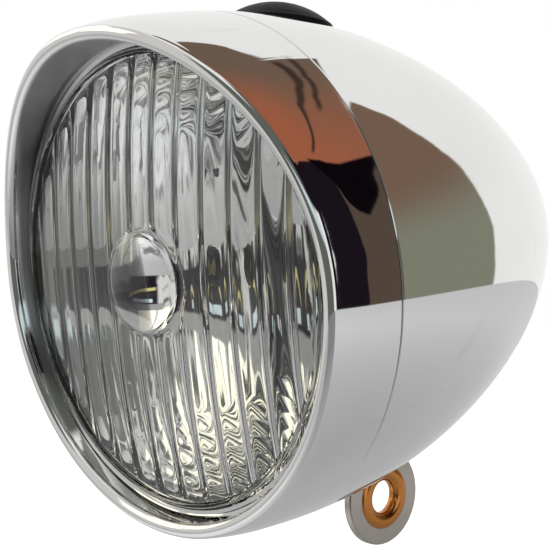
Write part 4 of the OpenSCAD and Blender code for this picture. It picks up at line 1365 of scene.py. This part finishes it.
class HEADLIGHT_OT_stage(bpy.types.Operator):
    """Set the pale floor, the soft light, the reflected studio and the camera"""

    bl_idname = "headlight.stage"
    bl_label = "Stage"

    # The camera that was fitted to the photo: its place in millimetres, its axes and its lens
    camera_place = Vector((158.98, -132.40, 25.89))
    camera_right = Vector((0.67864, 0.73221, -0.05755))
    camera_up = Vector((-0.05595, 0.12967, 0.98998))
    camera_lens = 92.29
    sensor_width = 36
    # Middle of the lamp's body, at which the soft lamps aim
    aim = Vector((0, -0.02, 0.03))
    # Middle of the painted pool of light on the floor that the lower chrome mirrors
    light_pool_place = (-0.12, -0.205)
    # Angle from straight behind at which the seam's own mirror line lies, and how it bends
    seam_angle = 42.4
    seam_bend = 0.0013

    def execute(self, context):
        stage = context.scene.headlight_stage
        context.scene.view_settings.view_transform = "Standard"
        self.floor(stage)
        self.studio(context, stage)
        self.lamp("key", stage.key_power, size=0.5, place=(-0.35, -0.45, 0.75))
        self.lamp("fill", stage.fill_power, size=0.6, place=(0.6, -0.3, 0.35))
        self.camera(context)
        return {"FINISHED"}

    def lamp(self, name, power, size, place):
        """A square soft lamp that lights the matte pieces and isn't seen in the chrome"""
        data = bpy.data.lights.new(name, "AREA")
        data.energy = power
        data.size = size
        lamp = put(name, data)
        lamp.location = place
        lamp.rotation_euler = (self.aim - Vector(place)).to_track_quat("-Z", "Y").to_euler()
        lamp.visible_glossy = False
        lamp.visible_transmission = False

    def floor(self, stage):
        bm = bmesh.new()
        bmesh.ops.create_circle(bm, cap_ends=True, segments=128, radius=stage.floor_radius)
        bmesh.ops.translate(bm, verts=bm.verts[:], vec=(0, 0, -stage.floor_drop))
        mesh = bpy.data.meshes.new("floor")
        bm.to_mesh(mesh)
        bm.free()
        mesh.materials.append(self.floor_material(stage))
        put("floor", mesh)

    def floor_material(self, stage):
        """Pale and even for the camera. What the lamp mirrors of it carries a painted shadow under the
        lamp. In front it fades further off and to the right, and has a painted pool of light"""
        material, tree, shader = new_material("Pale floor", Roughness=0.9)
        place = own_place(tree)
        reach = length_of(tree, place)
        east = axis_of(tree, place, 0)
        ahead = spread(tree, axis_of(tree, place, 1), -0.02, -0.09)
        middle = {0: place, 1: (*self.light_pool_place, -stage.floor_drop)}
        gap = add(tree, "ShaderNodeVectorMath", middle, operation="DISTANCE").outputs["Value"]
        # Painted shadow: what the lamp mirrors of the floor is darker under the lamp
        tone = spread(tree, reach, 0.15, 0.55, 0.54, 0.82)
        fore = times(
            tree, spread(tree, reach, 0.2, 0.5, 1.0, 0.62),
            spread(tree, east, -0.15, 0.12, 1.0, 0.42), spread(tree, east, -0.30, -0.16, 0.85, 1.0),
        )
        tone = plus(tree, tone, times(tree, ahead, minus(tree, fore, tone)))
        # Painted pool of light round the patch's middle
        tone = most(tree, tone, spread(tree, gap, 0.10, 0.05))
        # In front of the lamp lie soft dark shapes, seen through the lens only
        rays = tree.nodes.new("ShaderNodeLightPath").outputs
        shapes = times(
            tree, spread(tree, noise(tree, place, 11.0, 2.0), 0.50, 0.61),
            rays["Is Transmission Ray"], ahead, spread(tree, reach, 0.44, 0.32),
        )
        tone = times(tree, tone, lerp(tree, shapes, 1.0, 0.25))
        dull = mix(tree, tone, (0, 0, 0, 1), (0.96, 0.97, 0.97, 1))
        mirrored = most(tree, rays["Is Glossy Ray"], rays["Is Transmission Ray"])
        feed(tree, shader, {
            "Base Color": mix(tree, mirrored, (0.82, 0.82, 0.81, 1), dull),
            "Emission Color": (1, 1, 1, 1),
            "Emission Strength": times(tree, rays["Is Camera Ray"], 0.55),
        })
        return material

    def camera(self, context):
        data = bpy.data.cameras.new("camera")
        data.sensor_width = self.sensor_width
        data.lens = self.camera_lens
        data.clip_start = 0.01
        camera = put("camera", data)
        back = self.camera_right.cross(self.camera_up)
        turned = Matrix((self.camera_right, self.camera_up, back)).transposed().to_4x4()
        place = SEAM_CENTRE + self.camera_place * MM
        camera.matrix_world = Matrix.Translation(place) @ turned
        context.scene.camera = camera

    def studio(self, context, stage):
        """White for the camera, pale light on matte surfaces, and a studio with darker parts
        for what metal and glass reflect"""
        world = bpy.data.worlds.new("Studio")
        world.use_nodes = True
        context.scene.world = world
        tree = world.node_tree
        tree.nodes.clear()
        way = tree.nodes.new("ShaderNodeTexCoord").outputs["Generated"]
        x, y, z = add(tree, "ShaderNodeSeparateXYZ", {0: way}).outputs
        # Bearing in degrees: 0 in front of the lamp, 90 at its right side, 180 behind it
        bearing = times(tree, maths(tree, "ARCTAN2", x, times(tree, y, -1.0)), RADIAN)
        bearing = maths(tree, "FLOORED_MODULO", plus(tree, bearing, 90.0), 360.0)
        bearing = minus(tree, bearing, 90.0)
        height = times(tree, maths(tree, "ARCSINE", z), RADIAN)
        around = times(tree, maths(tree, "ARCCOSINE", y), RADIAN)
        rays = tree.nodes.new("ShaderNodeLightPath").outputs
        front = Panorama(tree, bearing, height, stage.backdrop)
        self.paint_front(front, stage, way, rays["Is Transmission Ray"])
        # Beside and behind the lamp the edges of what it mirrors wander a little
        stir = lerp(tree, noise(tree, way, 5.0, 4.0), -2.2, 2.2)
        bearing = plus(tree, bearing, stir)
        height = plus(tree, height, times(tree, stir, 0.35))
        picture = Panorama(tree, bearing, height, front.view)
        bend = times(tree, times(tree, height, height), self.seam_bend)
        self.paint_back(picture, stage, minus(tree, around, bend))
        mirrored, plain, white = (
            add(tree, "ShaderNodeBackground", {"Color": colour, "Strength": strength}).outputs[0]
            for colour, strength in (
                (picture.view, 1.0), ((1, 1, 1, 1), stage.surround), ((1, 1, 1, 1), 1.0)
            )
        )
        seen = most(tree, rays["Is Glossy Ray"], rays["Is Transmission Ray"])
        lit = add(tree, "ShaderNodeMixShader", {0: seen, 1: plain, 2: mirrored}).outputs[0]
        shown = {0: rays["Is Camera Ray"], 1: lit, 2: white}
        shown = add(tree, "ShaderNodeMixShader", shown).outputs[0]
        add(tree, "ShaderNodeOutputWorld", {"Surface": shown})

    def paint_front(self, picture, stage, way, through):
        """The room in front of the lamp. Its furniture, skyline and streaks are seen through the
        lens only, so the chrome stays clean"""
        tree, cover = picture.tree, picture.cover
        cover(stage.room, (-100, -4, 4), (-60, 66, 6))
        cover(stage.front, (-8, 78, 4), (-60, 50, 5))
        cover(stage.front, (45, 90, 4), (30, 72, 3))
        cover(stage.sky, (24, 78, 3), (8, 19, 2))
        shapes = times(tree, spread(tree, noise(tree, way, 5.5, 1.0), 0.50, 0.64), through)
        cover(stage.front, (-90, 66, 8), (-60, 66, 4), shapes)
        # A bright window with a bar, half light under it, then the skyline with its two streaks
        cover(mix(tree, 1.0, stage.window, (1.8, 1.8, 1.8, 1), "MULTIPLY"), (-90, -40, 2), (13, 46, 2))
        cover(stage.room, (-64, -60, 1), (13, 46, 2))
        cover(scaled(stage.room, 0.5), (-70, 40, 3), (8, 14), through)
        cover(stage.shade, (-62, 40, 2), (-6, 8.5), through)
        cover(stage.shade, (-62, -34, 2), (-12, -5), through)
        cover(stage.sky, (-56, -36, 1), (4.4, 7.2, 0.2), through)
        streak = picture.profile((-60, -3), (-46, -2), (-38, 0), (-32, 3))
        cover(stage.gilt, (-60, -32, 1), picture.beside(streak, 1.1), through)

    def paint_back(self, picture, stage, around):
        """The dark corner, the wall, the boards above it and the black shape before it"""
        tree, bearing, height = picture.tree, picture.bearing, picture.height
        cover, above, beside, profile = picture.cover, picture.above, picture.beside, picture.profile
        ahead = step(tree, around, self.seam_angle, 0.12)
        behind = step(tree, around, self.seam_angle, -0.12)
        # Dark corner, open below at its left end
        low = most(tree, step(tree, height, 22, 1), step(tree, bearing, 111, 0.5))
        cover(stage.shade, (62, 131, 1), (-60, 41), low)
        # Wall, olive at its foot and brown above, with a dull strip beside the corner
        wall = mix(tree, step(tree, height, 13, 9), stage.wall, stage.umber)
        cover(wall, (136, 168.5), (-60, 42), behind)
        cover(stage.strip, (129.5, 150), (-60, 31), ahead)
        # Boards, bright near the corner and dull further off, with two dark joints
        edge = profile((112, 41), (120, 40.5), (130, 37), (140, 32), (147, 31), (150, 25))
        far = profile((195, 49.8), (209, 50.5), (215, 54), (223, 57), (250, 64), (270, 68))
        aside = step(tree, bearing, 84, -3)
        far = most(tree, far, times(tree, aside, 80))
        far = times(tree, far, most(tree, step(tree, bearing, 195, 0.5), aside))
        dull = most(tree, step(tree, bearing, 160, 34), step(tree, bearing, 104, -10))
        boards = mix(tree, dull, stage.timber, stage.beam)
        cover(boards, above(edge), above(far), ahead)
        joint = scaled(stage.beam, 0.3)
        line = profile((131, 40.5), (140, 43), (150, 46), (160, 49), (172, 50), (190, 49.5))
        cover(joint, (131, 193, 2), beside(line, 0.6), ahead)
        line = profile((158, 45.5), (168, 47.5), (182, 48.2), (197, 46.5))
        cover(joint, (160, 196, 3), beside(line, 0.4), ahead)
        # Black shape before the wall, between two lines
        roof = profile((120, 41.5), (130, 38), (140, 33), (148, 31.5))
        foot = profile(
            (124, 40), (129, 30), (131, 22), (135.5, 16), (140, 21), (143, 27), (148, 31)
        )
        cover(scaled(stage.shade, 0.3), (124, 147.5), above(roof, -0.5), above(foot), ahead)


# Panel and registration


class HEADLIGHT_PT_build(bpy.types.Panel):
    """Lists the pieces of the headlight in the sidebar"""

    bl_label = "Headlight"
    bl_idname = "HEADLIGHT_PT_build"
    bl_space_type = "VIEW_3D"
    bl_region_type = "UI"
    bl_category = "Headlight"

    def draw(self, context):
        for piece in PIECES:
            self.layout.operator(piece.bl_idname)
        for group in (
            context.scene.headlight_sizes, context.scene.headlight_finishes,
            context.scene.headlight_stage,
        ):
            box = self.layout.box()
            for key in group.__annotations__:
                box.prop(group, key)


PIECES = (
    HEADLIGHT_OT_shell, HEADLIGHT_OT_bezel, HEADLIGHT_OT_lens, HEADLIGHT_OT_reflector,
    HEADLIGHT_OT_light_source, HEADLIGHT_OT_button, HEADLIGHT_OT_tab, HEADLIGHT_OT_inside,
    HEADLIGHT_OT_stage,
)
CLASSES = (HeadlightSizes, HeadlightFinishes, HeadlightStage, *PIECES, HEADLIGHT_PT_build)


def register():
    for cls in CLASSES:
        bpy.utils.register_class(cls)
    bpy.types.Scene.headlight_sizes = PointerProperty(type=HeadlightSizes)
    bpy.types.Scene.headlight_finishes = PointerProperty(type=HeadlightFinishes)
    bpy.types.Scene.headlight_stage = PointerProperty(type=HeadlightStage)


def unregister():
    del bpy.types.Scene.headlight_stage
    del bpy.types.Scene.headlight_finishes
    del bpy.types.Scene.headlight_sizes
    for cls in reversed(CLASSES):
        bpy.utils.unregister_class(cls)


def main():
    register()
    bpy.ops.headlight.shell()
    bpy.ops.headlight.bezel()
    bpy.ops.headlight.lens()
    bpy.ops.headlight.reflector()
    bpy.ops.headlight.light_source()
    bpy.ops.headlight.button()
    bpy.ops.headlight.tab()
    bpy.ops.headlight.inside()
    bpy.ops.headlight.stage()


if __name__ == "__main__":
    main()
